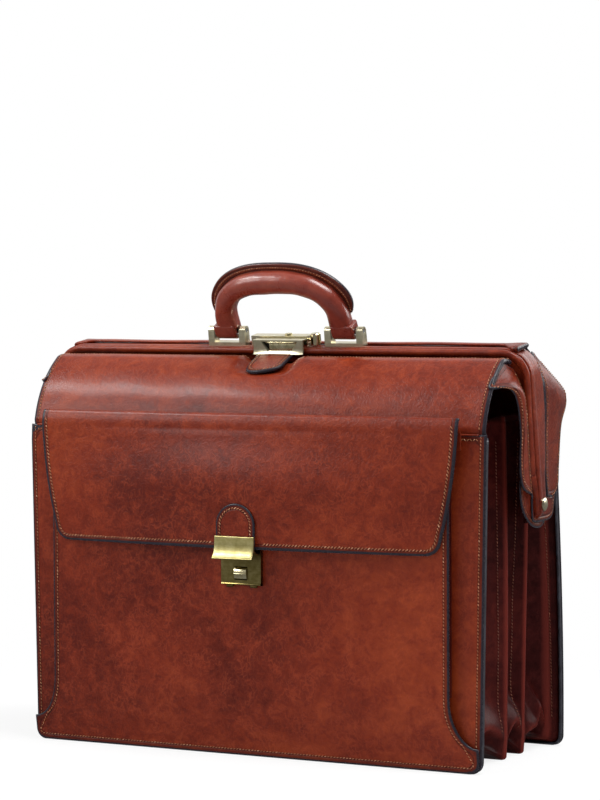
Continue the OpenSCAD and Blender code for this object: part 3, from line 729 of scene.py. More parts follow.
def gusset_side():
    """Half of the gusset: rows down the side, then round the floor corner, as (rows, cols, 3)."""
    rows = []
    for z in np.concatenate([np.linspace(290, 60, 36), np.linspace(57, 16, 26)]):
        line = pleat_line(z)
        low = np.minimum(z, mix(276.0, 290.0, np.clip((line[:, 2] + 74) / 60, 0, 1)))
        valley = np.clip(line[:, 3], 0, 1)
        rows.append(np.stack([half_width(low) - line[:, 0] + pucker(z, line[:, 2], valley), line[:, 2], low], -1))
    for a in np.radians(np.linspace(0, 90, 12)):
        line = pleat_line(10.0)
        r = np.maximum(3, panel_r - 1.5 - line[:, 0] / 3)
        valley = np.clip(line[:, 3], 0, 1)
        puff = valley * 4.5 * math.exp(-((math.degrees(a) - 20) / 30) ** 2)
        rows.append(np.stack([half_width(0) - line[:, 0] - r * (1 - math.cos(a)) + puff,
                              line[:, 2], line[:, 1] + r * (1 - math.sin(a))], -1))
    return np.array(rows)


right_half = gusset_side()
middle_rows = [np.stack([x + 0 * right_half[-1][:, 0], right_half[-1][:, 1],
                         right_half[-1][:, 2] + np.where(right_half[-1][:, 2] > 3, 0.6 * math.sin(x / 40), 0)], -1)
               for x in np.linspace(150, -150, 11)]
left_half = right_half[::-1] * np.array([-1, 1, 1])
gusset_grid = np.concatenate([right_half, middle_rows, left_half])
# Painted highlight on the ridges' crests and on the fold over each valley's foot, carried by the crest attribute.
depth = pleat_line(150.0)[::-1, 3]
painted_crest_highlight = np.clip(1 - np.maximum(depth, 0) / 0.05, 0, 1) * (depth > -0.3)
height = gusset_grid[:, ::-1, 2]
tuck = np.where(gusset_grid[:, ::-1, 1] > 50, tuck_line(gusset_grid[:, ::-1, 1]), 14 + 17 * np.clip(depth, 0, 1) ** 0.7)
painted_crest_highlight = np.maximum(painted_crest_highlight, np.exp(-((height - tuck) / 3.0) ** 2) * np.clip(depth * 2, 0, 1) * 0.8)
gusset = cut_hide("gusset_hide", gusset_grid[:, ::-1], 1.7, dark_shaded_leather,
                  crest=painted_crest_highlight + 0 * gusset_grid[..., 0])
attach(gusset, "bag")
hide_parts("gusset")


def ridge_stitches(side, word):
    """Seams in front of each ridge, and one by the rear panel, on the flank that rises as t^1.7."""
    for name, k, gap, rise, near in (("front", 1, 2.2, 12.5, 7.5), ("rear", 2, 2.2, 12.5, 7.5), ("back", 3, 0, 24.5, 5.0)):
        z = np.linspace(270, 24, 150)
        rise_y = wall_y(k, z) - gap - (wall_y(k - 1, z) + wall_y(k, z)) / 2
        y = wall_y(k, z) - gap - near
        t = 1 - near / rise_y
        inset = 26 - rise * t ** 1.7
        x = half_width(z) - inset + pucker(z, y, np.clip((inset - 13.5) / 12.5, 0, 1))
        up = unit(np.stack([side + 0 * z, -rise * 1.7 * t ** 0.7 / rise_y, 0 * z], -1))
        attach(sew(f"ridge_stitches_{name}_{word}", np.stack([x * side, y, z], -1) + up * 0.1, up, r=0.4,
                    look=dark_shaded_thread), "bag")


ridge_stitches(1, "right")
ridge_stitches(-1, "left")


# Dividers
# Two stiff leather walls that make three compartments; their edges sit in the pleats' ridges.

def divider(name, wall, y_of):
    """A sheet between the ridges whose Y follows its ridge."""
    low, high = (np.array(corner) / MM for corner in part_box(name))
    z = crowd(low[2], high[2], 8)
    u = crowd(-1, 1, 0.06, 1.3 / 200)
    half = round_foot(half_width(z) - 15.7, z - low[2], 6.0)[:, None]
    grid = np.stack([half * u, y_of(z)[:, None] - 1.2 + 0 * u * half, z[:, None] + 0 * u * half], -1)
    piece = cut_hide(wall, grid, 2.4, dark_shaded_edged)
    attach(piece, "bag")
    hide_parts(name)


divider("divider_front", "front_divider_hide", ridge_front)
divider("divider_rear", "rear_divider_hide", lambda z: 45.0 + 0 * z)


# Pocket
# A large flat pocket across the front: a hide sewn down at both sides and at the foot, where it
# spreads out to the panel's corners, with a narrow gusset strip that holds it off the panel.

pocket_low, pocket_high = (np.array(corner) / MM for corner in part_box("pocket_front"))
pocket_half = 190.0
pocket_gap = 7.6
flare_z = 60.0


def pocket_face(z):
    """Y of the pocket's outer face: it lifts off the panel within its first 60 mm."""
    return front_face(z) - panel_t - 0.2 - pocket_gap * ease(z / flare_z)


def pocket_side(z):
    """Half width of the pocket: straight sides that sweep out to the panel's edge at the foot."""
    spread = half_width(20) - pocket_half - 0.5
    turn = np.clip((flare_z - z) / 39.0, 0, 1)
    swept = pocket_half + spread * (1 - np.sqrt(np.maximum(1 - turn ** 2, 0)))
    foot = round_foot(half_width(z) - 0.8, z - 0.3, panel_r)
    return np.minimum(swept, np.where(z < 22, foot, 1e3))


pocket_rows = np.concatenate([0.3 + 13 * (1 - np.cos(np.linspace(0, math.pi / 2, 12))),
                              np.linspace(15, 23, 9), 60 - 37 * np.cos(np.linspace(0.12, math.pi / 2, 14)),
                              crowd(62, pocket_high[2], 7)[3:]])
u = crowd(-1, 1, 0.035, 1.3 / 190)
half = pocket_side(pocket_rows)[:, None]
z = pocket_rows[:, None] + 0 * u
belly = -0.9 * np.sin(np.pi * np.clip((z - 40) / 220, 0, 1)) * (1 - u ** 2)
pocket_grid = np.stack([half * u, pocket_face(z) + belly, z], -1)
pocket = cut_hide("pocket_hide", pocket_grid, panel_t, edged_leather)
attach(pocket, "bag")
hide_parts("pocket_front")

seam_z_down = np.linspace(pocket_high[2] - 2, 24, 110)
seam_x = np.minimum(pocket_side(seam_z_down) - 4.6, half_width(seam_z_down) - 5.4)
turn = np.linspace(0, math.pi / 2, 14)
foot_x = half_width(0) - panel_r + (panel_r - 5.4) * np.cos(turn)
foot_z = panel_r - (panel_r - 5.4) * np.sin(turn)
x = np.concatenate([seam_x, foot_x, -foot_x[::-1], -seam_x[::-1]])
z = np.concatenate([seam_z_down, foot_z, foot_z[::-1], seam_z_down[::-1]])
path = np.stack([x, pocket_face(z), z], -1)
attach(sew("pocket_stitches", path, np.tile([0.0, -1.0, 0.0], (len(path), 1))), "bag")


def dress(node, look, body, bevel=0.0, segments=3, angle=35):
    """The CAD piece with a finish and softened edges: a merged copy that stands for the node."""
    source = frame["nodes"][node]
    piece = bpy.data.objects.new(f"{node}_finish", source.data.copy())
    bpy.context.collection.objects.link(piece)
    piece.matrix_world = source.matrix_world.copy()
    piece.data.transform(piece.matrix_world)
    piece.matrix_world = Matrix.Identity(4)
    piece.data.materials.clear()
    piece.data.materials.append(look)
    tidy = bmesh.new()
    tidy.from_mesh(piece.data)
    bmesh.ops.remove_doubles(tidy, verts=tidy.verts, dist=0.002 * MM)
    bmesh.ops.dissolve_limit(tidy, angle_limit=math.radians(1.0), verts=tidy.verts, edges=tidy.edges)
    tidy.to_mesh(piece.data)
    tidy.free()
    piece.data.polygons.foreach_set("use_smooth", np.ones(len(piece.data.polygons), bool))
    if bevel:
        soft = piece.modifiers.new("soft_edges", "BEVEL")
        soft.width = bevel * MM
        soft.segments = segments
        soft.limit_method = "ANGLE"
        soft.angle_limit = math.radians(angle)
        soft.harden_normals = True
    for one in piece.data.edges:
        one.use_edge_sharp = False
    piece.data.set_sharp_from_angle(angle=math.radians(angle))
    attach(piece, body)
    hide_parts(node)
    return piece


dress("pocket_gusset", dark_shaded_leather, "bag", 0.4)
dress("flap_strip", plain_leather, "bag", 0.6)
dress("side_straps", dark_shaded_leather, "bag", 0.6)


# Flap
# The pocket's cover: one hide folded over at the top and hanging down the front, held off in the
# middle by the lock. Its sides taper, its lower corners are round, and a seam runs round its edge.

flap_low, flap_high = (np.array(corner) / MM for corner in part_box("flap"))
flap_half = flap_high[0]
flap_hinge = np.array(next(j for j in frame["joints"] if j["name"] == "flap_lift")["pos_m"]) / MM
fold_r = 5.5
flap_t = 2.6
flap_bulge = 9.5
flap_foot = flap_low[2]


def flap_side(z):
    """Half width of the flap: a taper that quickens downwards, then a round lower corner."""
    taper = flap_half - 14 * (1 - np.clip((z - 192) / 93, 0, 1)) ** 1.7
    return round_foot(taper, z - flap_foot, 15.0)


def flap_point(u, z):
    """Point on the flap's face at share u across: below the fold it hangs, bowed out in the middle."""
    u, z = np.broadcast_arrays(u, z)
    bow = flap_bulge * (1 - u * u) * ease((284 - z) / 58)
    dent = 0.5 * np.sin(u * 5 + z / 23) * ease((284 - z) / 40)
    return np.stack([u * flap_side(z), flap_hinge[1] - fold_r - bow + dent, z], -1)


u = crowd(-1, 1, 0.035, 1.3 / 190)
hang = flap_foot + np.concatenate([15 * (1 - np.cos(np.linspace(0, math.pi / 2, 14))),
                                   crowd(15, flap_hinge[2] - 9 - flap_foot, 5)[6:-5]])
fold = np.radians(np.linspace(180, 95, 14))
hanging = flap_point(u[None, :], hang[:, None])
folded = np.stack([u[None, :] * flap_half + 0 * fold[:, None],
                   flap_hinge[1] + fold_r * np.cos(fold)[:, None] + 0 * u[None, :],
                   flap_hinge[2] - 9 + (fold_r + 9) * np.sin(fold)[:, None] + 0 * u[None, :]], -1)
flap_grid = np.concatenate([hanging, folded])
sides = flap_half - np.abs(flap_grid[..., 0])
flap = cut_hide("flap_hide", flap_grid, flap_t, edged_leather,
                paint=np.where(flap_grid[..., 2] > 270, sides - 1.1 * np.clip((4.4 - sides) / 1.9, 0, 1),
                               wide_edge(flap_grid)))
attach(flap, "flap")
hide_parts("flap")

inset = 5.0
z_side = np.linspace(flap_hinge[2] - 1, flap_foot + 15, 60)
turn = np.linspace(0, math.pi / 2, 14)
corner_half = flap_side(flap_foot + 15)
x = np.concatenate([flap_side(z_side) - inset, corner_half - 15 + (15 - inset) * np.cos(turn)])
z = np.concatenate([z_side, flap_foot + 15 - (15 - inset) * np.sin(turn)])
x = np.concatenate([x, np.linspace(x[-1], -x[-1], 80)[1:-1], -x[::-1]])
z = np.concatenate([z, np.full(78, z[-1]), z[::-1]])
path = flap_point(np.clip(x / flap_side(z), -1, 1), z)
path[:, 0] = x
up = np.tile([0.0, -1.0, 0.0], (len(path), 1))
away = np.abs(x) > 19.5
right_end = int(np.argmax(~away))
left_start = len(x) - int(np.argmax(~away[::-1]))
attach(sew("flap_stitches_right", path[:right_end], up[:right_end], 3.0, 3.0, 0.5, slant=0.8), "flap")
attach(sew("flap_stitches_left", path[left_start:], up[left_start:], 3.0, 3.0, 0.5, slant=0.8), "flap")

patch_y = flap_hinge[1] - fold_r - flap_bulge
a = np.linspace(0, math.pi, 40)
half_round = np.vstack([np.stack([18.5 * np.cos(a), 198 + 18.5 * np.sin(a)], -1),
                        np.stack([np.full(8, -18.5), np.linspace(196, 182, 8)], -1),
                        np.stack([np.linspace(-17.7, 17.7, 16), np.full(16, 181.2)], -1),
                        np.stack([np.full(8, 18.5), np.linspace(182, 196, 8)], -1)])
flap_patch = patch_hide("flap_patch_hide", half_round, np.array([0, 197.0]),
                        lambda q: np.stack([q[..., 0], 0 * q[..., 0] + patch_y - 2.1, q[..., 1]], -1),
                        2.0, edged_leather, [0, -1, 0], 1.0)
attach(flap_patch, "flap")
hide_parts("flap_patch")
a = np.linspace(0.0, math.pi, 60)
arch = np.vstack([[[14.6, 187]], np.stack([14.6 * np.cos(a), 198 + 14.6 * np.sin(a)], -1), [[-14.6, 187]]])
path = np.stack([arch[:, 0], np.full(len(arch), patch_y - 2.1), arch[:, 1]], -1)
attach(sew("flap_patch_stitches", path, np.tile([0.0, -1.0, 0.0], (len(path), 1)), pitch=2.7, length=2.7, r=0.48, slant=0.7), "flap")


# Frame covers
# Leather wrapped round the two steel frame halves: the rear half is the outer strip, and the front
# half is nested under it and ends in a flange with a round bead that closes against it.

frame_half = 229.5
frame_top = 134.0
frame_r = 24.0


def arch_line(half, top, r, low, count=26):
    """An upside-down U in the frame's own X and Z: from the left foot up, over and down to the right."""
    a = np.linspace(0, math.pi / 2, count)
    left = np.stack([-(half - r) - r * np.cos(a), top - r + r * np.sin(a)], -1)
    right = left[::-1] * np.array([-1, 1])
    foot_l = np.stack([np.full(30, -half), np.linspace(low, top - r, 30)], -1)[:-1]
    across = np.stack([np.linspace(-(half - r), half - r, 60), np.full(60, top)], -1)[1:-1]
    return np.concatenate([foot_l, left, across, right, foot_l[::-1] * np.array([-1, 1])])


def sweep_arch(name, line, section, look, body, nodes=(), reshape=None):
    """A closed section (outward, Y) carried along a line in the frame's X and Z. The outward offset follows
    the line's normal; reshape takes (height, outward, Y) and returns the section as it is at that height."""
    tangent = unit(np.gradient(line, axis=0))
    out = np.stack([-tangent[:, 1], tangent[:, 0]], -1)
    away, y = section[None, :, 0] + 0 * line[:, 1:], section[None, :, 1] + 0 * line[:, 1:]
    if reshape:
        away, y = reshape(line[:, 1:], away, y)
    grid = framed(line[:, 0, None] + out[:, 0, None] * away, y, line[:, 1, None] + out[:, 1, None] * away)
    piece = add_mesh(name, grid.reshape(-1, 3), grid_quads(*grid.shape[:2], 0, wrap=True), look)
    close_ends(piece)
    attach(piece, body)
    if nodes:
        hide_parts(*nodes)
    return piece


def loop(*corners, r=1.2, count=5):
    """A closed section with rounded corners through the given (outward, Y) corners, in order."""
    corners = np.array(corners, float)
    before, after = np.roll(corners, 1, axis=0), np.roll(corners, -1, axis=0)
    points = []
    for p, q, n in zip(corners, before, after):
        a, b = unit(q - p), unit(n - p)
        reach = min(r, 0.45 * np.linalg.norm(q - p), 0.45 * np.linalg.norm(n - p))
        start, end = p + a * reach, p + b * reach
        t = np.linspace(0, 1, count)[:, None]
        points.append((1 - t) ** 2 * start + 2 * t * (1 - t) * p + t ** 2 * end)
    return np.concatenate(points)


def worn_corner(z, away, y):
    """Down the legs the front corner is worn to a slant: deeper and closer to the front towards the foot."""
    ridge = np.interp(z, [-12, 20, 40, 90, 110], [-6.3, -6.2, -2.5, 1.0, 1.0])
    deep = np.interp(z, [-12, 20, 40, 90, 112], [4.3, 3.7, 2.6, 1.1, 0.0])
    worn = deep * np.clip((ridge - y) / (ridge + 12.4), 0, 1.1) + 4.0 * ease((-6.5 - z) / 2.6)
    return away - worn * np.clip((away + 4.9) / 2.4, 0, 1)


def bead_reach(z, away, y):
    """Down the legs the round bead is pressed flat."""
    c = np.clip((away + 3) / 3, -1, 1)
    flat = np.where(away > -5.9, -3 + 3 * np.sign(c) * np.abs(c) ** 0.35, away)
    y = -6.6 + (y + 6.6) * (1 - 0.6 * ease((24 - z) / 18))
    return worn_corner(z, mix(away, flat, ease((116 - z) / 22)), y), y


def strip_reach(z, away, y):
    """Down the legs the strip's back edge runs straighter than the frame leans."""
    backward = np.interp(z, [-12, 20, 40, 75, 100, 118], [-5.0, -4.0, 0.0, 5.5, 5.5, 0.0])
    return worn_corner(z, away, y), y + backward * np.clip((y - 6) / 8, 0, 1)


rear_back = 15.0
rear_section = loop([-5.0, -6.7], [0.2, -6.7], [0.3, -4.0], [0.1, -1.5], [-1.0, 1.0], [-1.1, 8.0], [-1.5, rear_back],
                    [-5.0, rear_back], r=1.6)
sweep_arch("rear_frame_hide", arch_line(frame_half, frame_top, frame_r, -11.0), rear_section,
           plain_leather, "rear_frame", ("rear_cover",), strip_reach)
nested_section = loop([-4.0, -6.6], [0.0, -6.6], [0.0, 8.0], [-4.0, 8.0], r=1.0)
sweep_arch("front_frame_hide", arch_line(frame_half - 8.5, frame_top - 8.5, frame_r - 8.5, -12.0),
           nested_section, plain_leather, "front_frame", ("front_cover",))
bead = np.array([[-3 + 3 * math.cos(a), -9.8 + 3 * math.sin(a)] for a in np.radians(np.arange(-215, 46, 20))])
bead_section = np.vstack([bead, [[-2.2, -6.9], [-12.3, -6.9], [-12.4, -7.6], [-12.4, -11.2], [-11.8, -11.8]]])
sweep_arch("front_bead_hide", arch_line(frame_half, frame_top, frame_r, 27.0), bead_section,
           plain_leather, "front_frame", ("front_bead",), bead_reach)
cap_section = np.vstack([bead, [[-2.2, -6.9], [-4.8, -6.9], [-5.0, -8.0], [-5.0, -10.6]]])
for side, word in ((1, "right"), (-1, "left")):
    foot = np.stack([np.full(40, side * frame_half), np.linspace(26.7, -10.5, 40)[::side]], -1)
    sweep_arch(f"leg_cap_{word}", foot, cap_section, plain_leather, "rear_frame",
               ("leg_caps",) if side > 0 else (), bead_reach)


def rear_lip():
    """The rear shoulder's leather where it laps over the frame's top, with a painted cut at both ends.
    It lies flat behind the fittings and comes forward and up towards both ends of the frame."""
    x = mix(-213.0, 219.5, crowd(0, 1, 0.01, 1.2 / 432))
    share = crowd(0, 1, 0.1, 1.1 / 20)[:, None]
    end = ease((np.abs(x) - 200) / 14)
    y = mix(mix(6.0, -7.5, end), 15.5, share)
    z = frame_top + 1.7 + 0.8 * end + 0.2 * np.sin(x / 17.0) - 0.9 * share
    piece = cut_hide("rear_shoulder_lip", framed(x + 0 * y, y, z), 2.0 + 3.4 * end + 0 * y, edged_leather,
                     out=[0, 0, 1], paint=np.minimum(220.5 - x, 30.0) + 0 * y)
    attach(piece, "rear_frame")


rear_lip()


# Pivot tabs
# Flat leather ends round the rivets, sewn near their edges: the rear half's lie over the front half's.

def smooth_outline(points, count):
    """A closed curve through the points, evenly spaced."""
    p = np.vstack([points[-1], points, points[:2]])
    curve = spline(p, 60 * len(p))
    lo, hi = 60, 60 * (len(p) - 2)
    part = curve[np.linspace(0, len(curve) - 1, len(curve)).astype(int)]
    t = np.linspace(0, len(p) - 1, len(curve))
    part = part[(t >= 1) & (t <= len(p) - 2)]
    run = np.concatenate([[0], np.cumsum(np.linalg.norm(np.diff(part, axis=0), axis=1))])
    want = np.linspace(0, run[-1], count, endpoint=False)
    return np.stack([np.interp(want, run, part[:, k]) for k in range(2)], -1)


def pivot_tabs(node, outline, seam, x, body):
    """The same tab on both sides, outline in (Y, Z) from the pivot, with a seam inside its free edge."""
    for side, word in ((1, "right"), (-1, "left")):
        def to_space(q):
            return np.stack([0 * q[..., 0] + side * (x + 1.5), pivot_y + q[..., 0], pivot_z + q[..., 1]], -1)
        tab = patch_hide(f"{node}_{word}", smooth_outline(outline, 110), np.array([-2.0, 1.0]) if x < 222 else
                         np.array([8.0, -1.0]), to_space, 1.5, edged_leather, [side, 0, 0], 0.8)
        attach(tab, body)
        if side > 0:
            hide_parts(node)
        path = to_space(spline(seam, 80))
        up = np.tile([1.0 * side, 0.0, 0.0], (len(path), 1))
        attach(sew(f"{node}_stitches_{word}", path, up, pitch=3.0, length=2.2, r=0.3, lift=0.03), body)


front_tab = np.array([[9.5, -12.6], [10.5, 0], [9, 13.5], [0, 18.5], [-10, 22.6], [-20, 23], [-31.5, 22.6],
                      [-33.4, 15.4], [-32.5, 8.7], [-30.3, 1.1], [-26.3, -5.4], [-19.3, -11.7], [-11.8, -16.4],
                      [-3.9, -19.5], [4, -20.6], [10.3, -20.4], [16.4, -18.3], [18.5, -15.5]])
front_seam = [[-29.2, 20], [-30, 15], [-29, 9], [-26.8, 2.6], [-23.2, -3], [-17.2, -8.6], [-10.2, -13], [-3.4, -16],
              [4, -17.2], [11, -17]]
rear_tab = np.array([[-8, 8], [-12.4, 5], [-12.2, -4], [-11.4, -11.4], [-7.5, -14.9], [6.5, -15.4], [19.5, -15.0],
                     [27.1, -13.8], [32.2, -11.0], [34.2, -6.5], [35.8, -1.0], [37.4, 5], [36.8, 8.6], [24, 9.3],
                     [12, 9]])
rear_seam = [[-8.6, -10.6], [-5.5, -11.8], [6.5, -12.2], [18.5, -11.8], [25.5, -10.6], [29.4, -8.4], [31, -5], [32.4, 1],
             [33.4, 7]]
pivot_tabs("front_tabs", front_tab, front_seam, 221.1, "front_frame")
pivot_tabs("rear_tabs", rear_tab, rear_seam, 222.95, "rear_frame")


# Wings
# The soft ends of the shoulders, gathered onto the frame's legs: each runs from a cut and painted
# free edge to the leg, and swells out a little between them.

def wing(name, node, free, held, swell, side, body, edge_of, seam_gap, rise):
    """Rows run from the free edge to the leg: a straight line between them plus a sine swell in X.
    edge_of gives how far a point is from the strip's edge, where the hide rises to it, in millimetres;
    up to there the edge paint covers the hide, a painted shadow line along the strip's edge."""
    free, held = spline(free, 90), spline(held, 90)
    swell = spline(np.array(swell)[:, None], 90)
    share = crowd(0, 1, 0.05, 1.0 / 30)
    grid = free[:, None] + (held - free)[:, None] * share[None, :, None]
    grid[..., 0] += swell * np.sin(np.pi * share) ** 0.8
    up = (grid[..., 1] - pivot_y) * math.cos(lean) + (grid[..., 2] - pivot_z) * math.sin(lean)
    height = (grid[..., 2] - pivot_z) * math.cos(lean) - (grid[..., 1] - pivot_y) * math.sin(lean)
    off = edge_of(height, up)
    grid[..., 0] += rise * np.exp(-(np.maximum(off, 0) / 7) ** 2) * ease(share * 4)
    grid[..., 0] *= side
    away = [1.0 * side, 0, 0]
    # Painted shadow: the edge paint runs along the strip's edge, where the wing meets the leg.
    piece = cut_hide(name, grid, 1.9, edged_leather, out=away, paint=np.minimum(distance_to(grid, rim_of(grid)),
                                                                              np.maximum(off, 0.0)))
    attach(piece, body)
    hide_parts(node)
    path, up = follow(grid, 4.4, 6, -2, out=away)
    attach(sew(f"{name}_free_stitches", path, up, length=2.2, r=0.4), body)
    normals = facing(grid, away)
    place = [int(np.argmin(np.abs(row - seam_gap))) for row in off[8:-3]]
    path = np.array([row[k] for row, k in zip(grid[8:-3], place)])
    up = np.array([row[k] for row, k in zip(normals[8:-3], place)])
    smooth = np.stack([np.convolve(np.pad(path[:, k], 6, "edge"), np.ones(13) / 13, "valid") for k in range(3)], -1)
    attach(sew(f"{name}_held_stitches", smooth + up * 0.15, up, length=2.2, r=0.4), body)


front_free = [[215.2, -30, 336.6], [214.6, -46, 328.6], [214.2, -60, 317], [219.5, -56, 315.4], [222.4, -47, 315.2],
              [224, -37, 312.4], [224.6, -29, 306], [224.8, -23, 293], [225, -20, 276], [225, -20.5, 262],
              [225.6, -21, 247], [226.2, -18.6, 236], [226.7, -14, 230], [226.9, -7, 227], [226.9, -1, 225.6]]
front_held = [framed(x, -13.4, z) for x, z in (
    (216, 119.5), (218.2, 116), (219.6, 112.5), (221, 106), (222, 101), (223.6, 96), (224.6, 91), (226.3, 80),
    (226.2, 63), (225.8, 40), (225.8, 22), (226.9, 7.5))]
rear_free = [[219.5, 17, 345], [222, 46, 328], [224.6, 75, 311], [225.6, 78.8, 303], [225.6, 77.5, 295],
             [225.5, 68, 279], [225.5, 63.5, 246], [226.2, 61, 232], [226.4, 56, 224],
             [226.4, 47, 220.5]]
rear_held = [framed(x, 14.2, z) for x, z in (
    (219.5, 126.5), (221, 120), (223, 111), (224.3, 101), (224.3, 91), (224.3, 74), (224.6, 42), (225.8, 14),
    (226.3, 3))]
for side, word in ((1, "right"), (-1, "left")):
    wing(f"front_wing_hide_{word}", f"front_wing_{word}", front_free, front_held,
         [0, 2, 4.5, 5, 5, 4.5, 3.2, 2, 1.2, 0.8, 0.4, 0], side, "front_frame",
         lambda z, y: -13.4 - y, 3.6, 0.0)
    wing(f"rear_wing_hide_{word}", f"rear_wing_{word}", rear_free, rear_held,
         [0.5, 1.5, 3, 3.5, 3.5, 2.4, 1.0, 0.5, 0.2, 0], side, "rear_frame",
         lambda z, y: y - 17.0 - np.interp(z, [-12, 20, 40, 75, 100, 118], [-5.0, -4.0, 0.0, 5.5, 5.5, 0.0]), 4.0, 1.6)


# Metal fittings
# Cast and stamped brass with an antique satin finish. The tongue behind
# the lock's window, the knob and the buttons are polished. Pins and the housing are steel.

def metal(name, dark, body_tone, bright, gloss, grain, cloudy=0.16):
    """Brass or steel: cloudy patina and fine brushing across X."""
    made, shader, start = material(name)
    where = start.make("ShaderNodeTexCoord", out=3)
    patina = cloud(start, where, 190.0, 4.0, 0.6, 0.4)
    brushed = cloud(start, where, 900.0, 2.0, 0.6, 0.0, (0.06, 1.0, 1.0))
    wear = cloud(start, where, 60.0, 2.0)
    tone = patina * 0.6 + brushed * 0.2 + wear * 0.2
    colour = tone.make("ShaderNodeValToRGB", {"stops": [(0.32, dark), (0.5, body_tone), (0.7, bright)]},
                       {"Fac": tone})
    plug(start, shader, "Base Color", colour)
    plug(start, shader, "Roughness", gloss + (brushed - 0.5) * cloudy + (patina - 0.5) * cloudy)
    plug(start, shader, "Normal", start.make("ShaderNodeBump", None, {
        "Strength": grain, "Distance": 0.0001, "Height": brushed}))
    shader.inputs["Metallic"].default_value = 1.0
    return made


satin_brass = metal("satin_brass", (0.40, 0.33, 0.12), (0.50, 0.43, 0.18), (0.64, 0.57, 0.29), 0.36, 0.1, 0.08)
dark_brass = metal("olive_brass", (0.16, 0.12, 0.035), (0.24, 0.19, 0.065), (0.36, 0.30, 0.13), 0.34, 0.15)
pale_brass = metal("pale_brass", (0.56, 0.50, 0.33), (0.68, 0.62, 0.43), (0.83, 0.78, 0.60), 0.3, 0.06, 0.08)
bright_brass = metal("polished_brass", (0.45, 0.38, 0.20), (0.70, 0.62, 0.38), (0.88, 0.82, 0.60), 0.18, 0.2)
pin_steel = metal("pin_steel", (0.20, 0.20, 0.20), (0.38, 0.38, 0.38), (0.6, 0.6, 0.6), 0.3, 0.3)
pin_steel_dark = metal("blackened_steel", (0.010, 0.009, 0.008), (0.018, 0.016, 0.014), (0.04, 0.036, 0.03), 0.4, 0.3)

for node, look, body, bevel in (("bracket_left", pale_brass, "rear_frame", 0.8),
                                ("bracket_right", pale_brass, "rear_frame", 0.8),
                                ("lock_case", pale_brass, "rear_frame", 0.7), ("tuck_plate", dark_brass, "bag", 0.3),
                                ("pivot_rivets", pale_brass, "bag", 0.3)):
    dress(node, look, body, bevel)
for node, body, bevel in (("lock_knob", "lock_knob", 0.5), ("key_barrel", "key_barrel", 0.2)):
    dress(node, bright_brass, body, bevel)


def bar(name, section, x, look, body, to_space=None, nodes=()):
    """A closed (Y, Z) section carried along X between two places, with softened ends."""
    middle = section.mean(0)
    shrink = np.array([0.86, 0.97, 1.0, 1.0, 0.97, 0.86])[:, None, None]
    where = np.array([x[0], x[0] + 0.12, x[0] + 0.5, x[1] - 0.5, x[1] - 0.12, x[1]])
    flat = middle + (section - middle) * shrink
    grid = (to_space or (lambda a, b, c: np.stack([a + 0 * b, b, c], -1)))(where[:, None], flat[..., 0], flat[..., 1])
    piece = add_mesh(name, grid.reshape(-1, 3), grid_quads(6, len(section), 0, wrap=True), look)
    close_ends(piece)
    piece.data.set_sharp_from_angle(angle=math.radians(32))
    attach(piece, body)
    if nodes:
        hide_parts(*nodes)
    return piece


def faceplate():
    """The front plate: a rectangle round a trapezoid window, as rings from the outer rim to the window's
    edge and back, with a wide bright bevel round the window."""
    def ring(corners):
        corners = np.array(corners, float)
        t = np.linspace(0, 1, 9)[:-1, None]
        return np.concatenate([mix(p, q, t) for p, q in zip(corners, np.roll(corners, -1, axis=0))])

    top, foot, mid = frame_top + 5.6, frame_top - 2.0, -0.1
    outer = ring([[-26, frame_top - 5], [22.7, frame_top - 5], [22.7, frame_top + 7.5], [-26, frame_top + 7.5]])
    inner = ring([[mid - 10.9, foot], [mid + 10.9, foot], [mid + 16.4, top], [mid - 16.4, top]])
    wide = ring([[mid - 11.6, foot - 1.0], [mid + 11.6, foot - 1.0], [mid + 17.6, top + 0.5], [mid - 17.6, top + 0.5]])
    tight = mix(outer, np.array([-1.6, frame_top + 1.2]), 0.025)
    rows = [(outer, -13.9), (outer, -15.0), (tight, -15.4), (wide, -15.4), (inner, -14.6), (inner, -13.9)]
    grid = np.array([framed(flat[:, 0], y - 1.2 * ease((frame_top - 1.8 - flat[:, 1]) / 3.4), flat[:, 1])
                     for flat, y in rows + rows[:1]])
    piece = add_mesh("lock_faceplate_finish", grid.reshape(-1, 3), grid_quads(7, len(outer), 0, wrap=True),
                     pale_brass, merge=0.01)
    close_ends(piece)
    piece.data.set_sharp_from_angle(angle=math.radians(25))
    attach(piece, "front_frame")
    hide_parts("lock_faceplate", "lock_bolt_plate")


faceplate()
bar("faceplate_flange", loop([-15.3, 140], [-7.0, 140], [-7.0, 141.5], [-15.3, 141.5], r=0.4), (-26, 22.7),
    pale_brass, "front_frame", framed)
bar("lock_recess", loop([-13.5, 130.5], [-12.9, 130.5], [-12.9, 139.9], [-13.5, 139.9], r=0.2), (-18.6, 18.4),
    pin_steel_dark, "front_frame", framed)
bar("lock_tongue", loop([-14.4, 131.2], [-13.4, 130.8], [-13.4, 138.6], [-14.2, 138.4], [-14.5, 135.5], r=0.5),
    (-10.5, 16.5), bright_brass, "front_frame", framed)
x = np.linspace(-13.5, 16.2, 12)
tube("lock_bolt_rod", framed(x, -14.6, 139.2), 0.75, bright_brass, "front_frame")


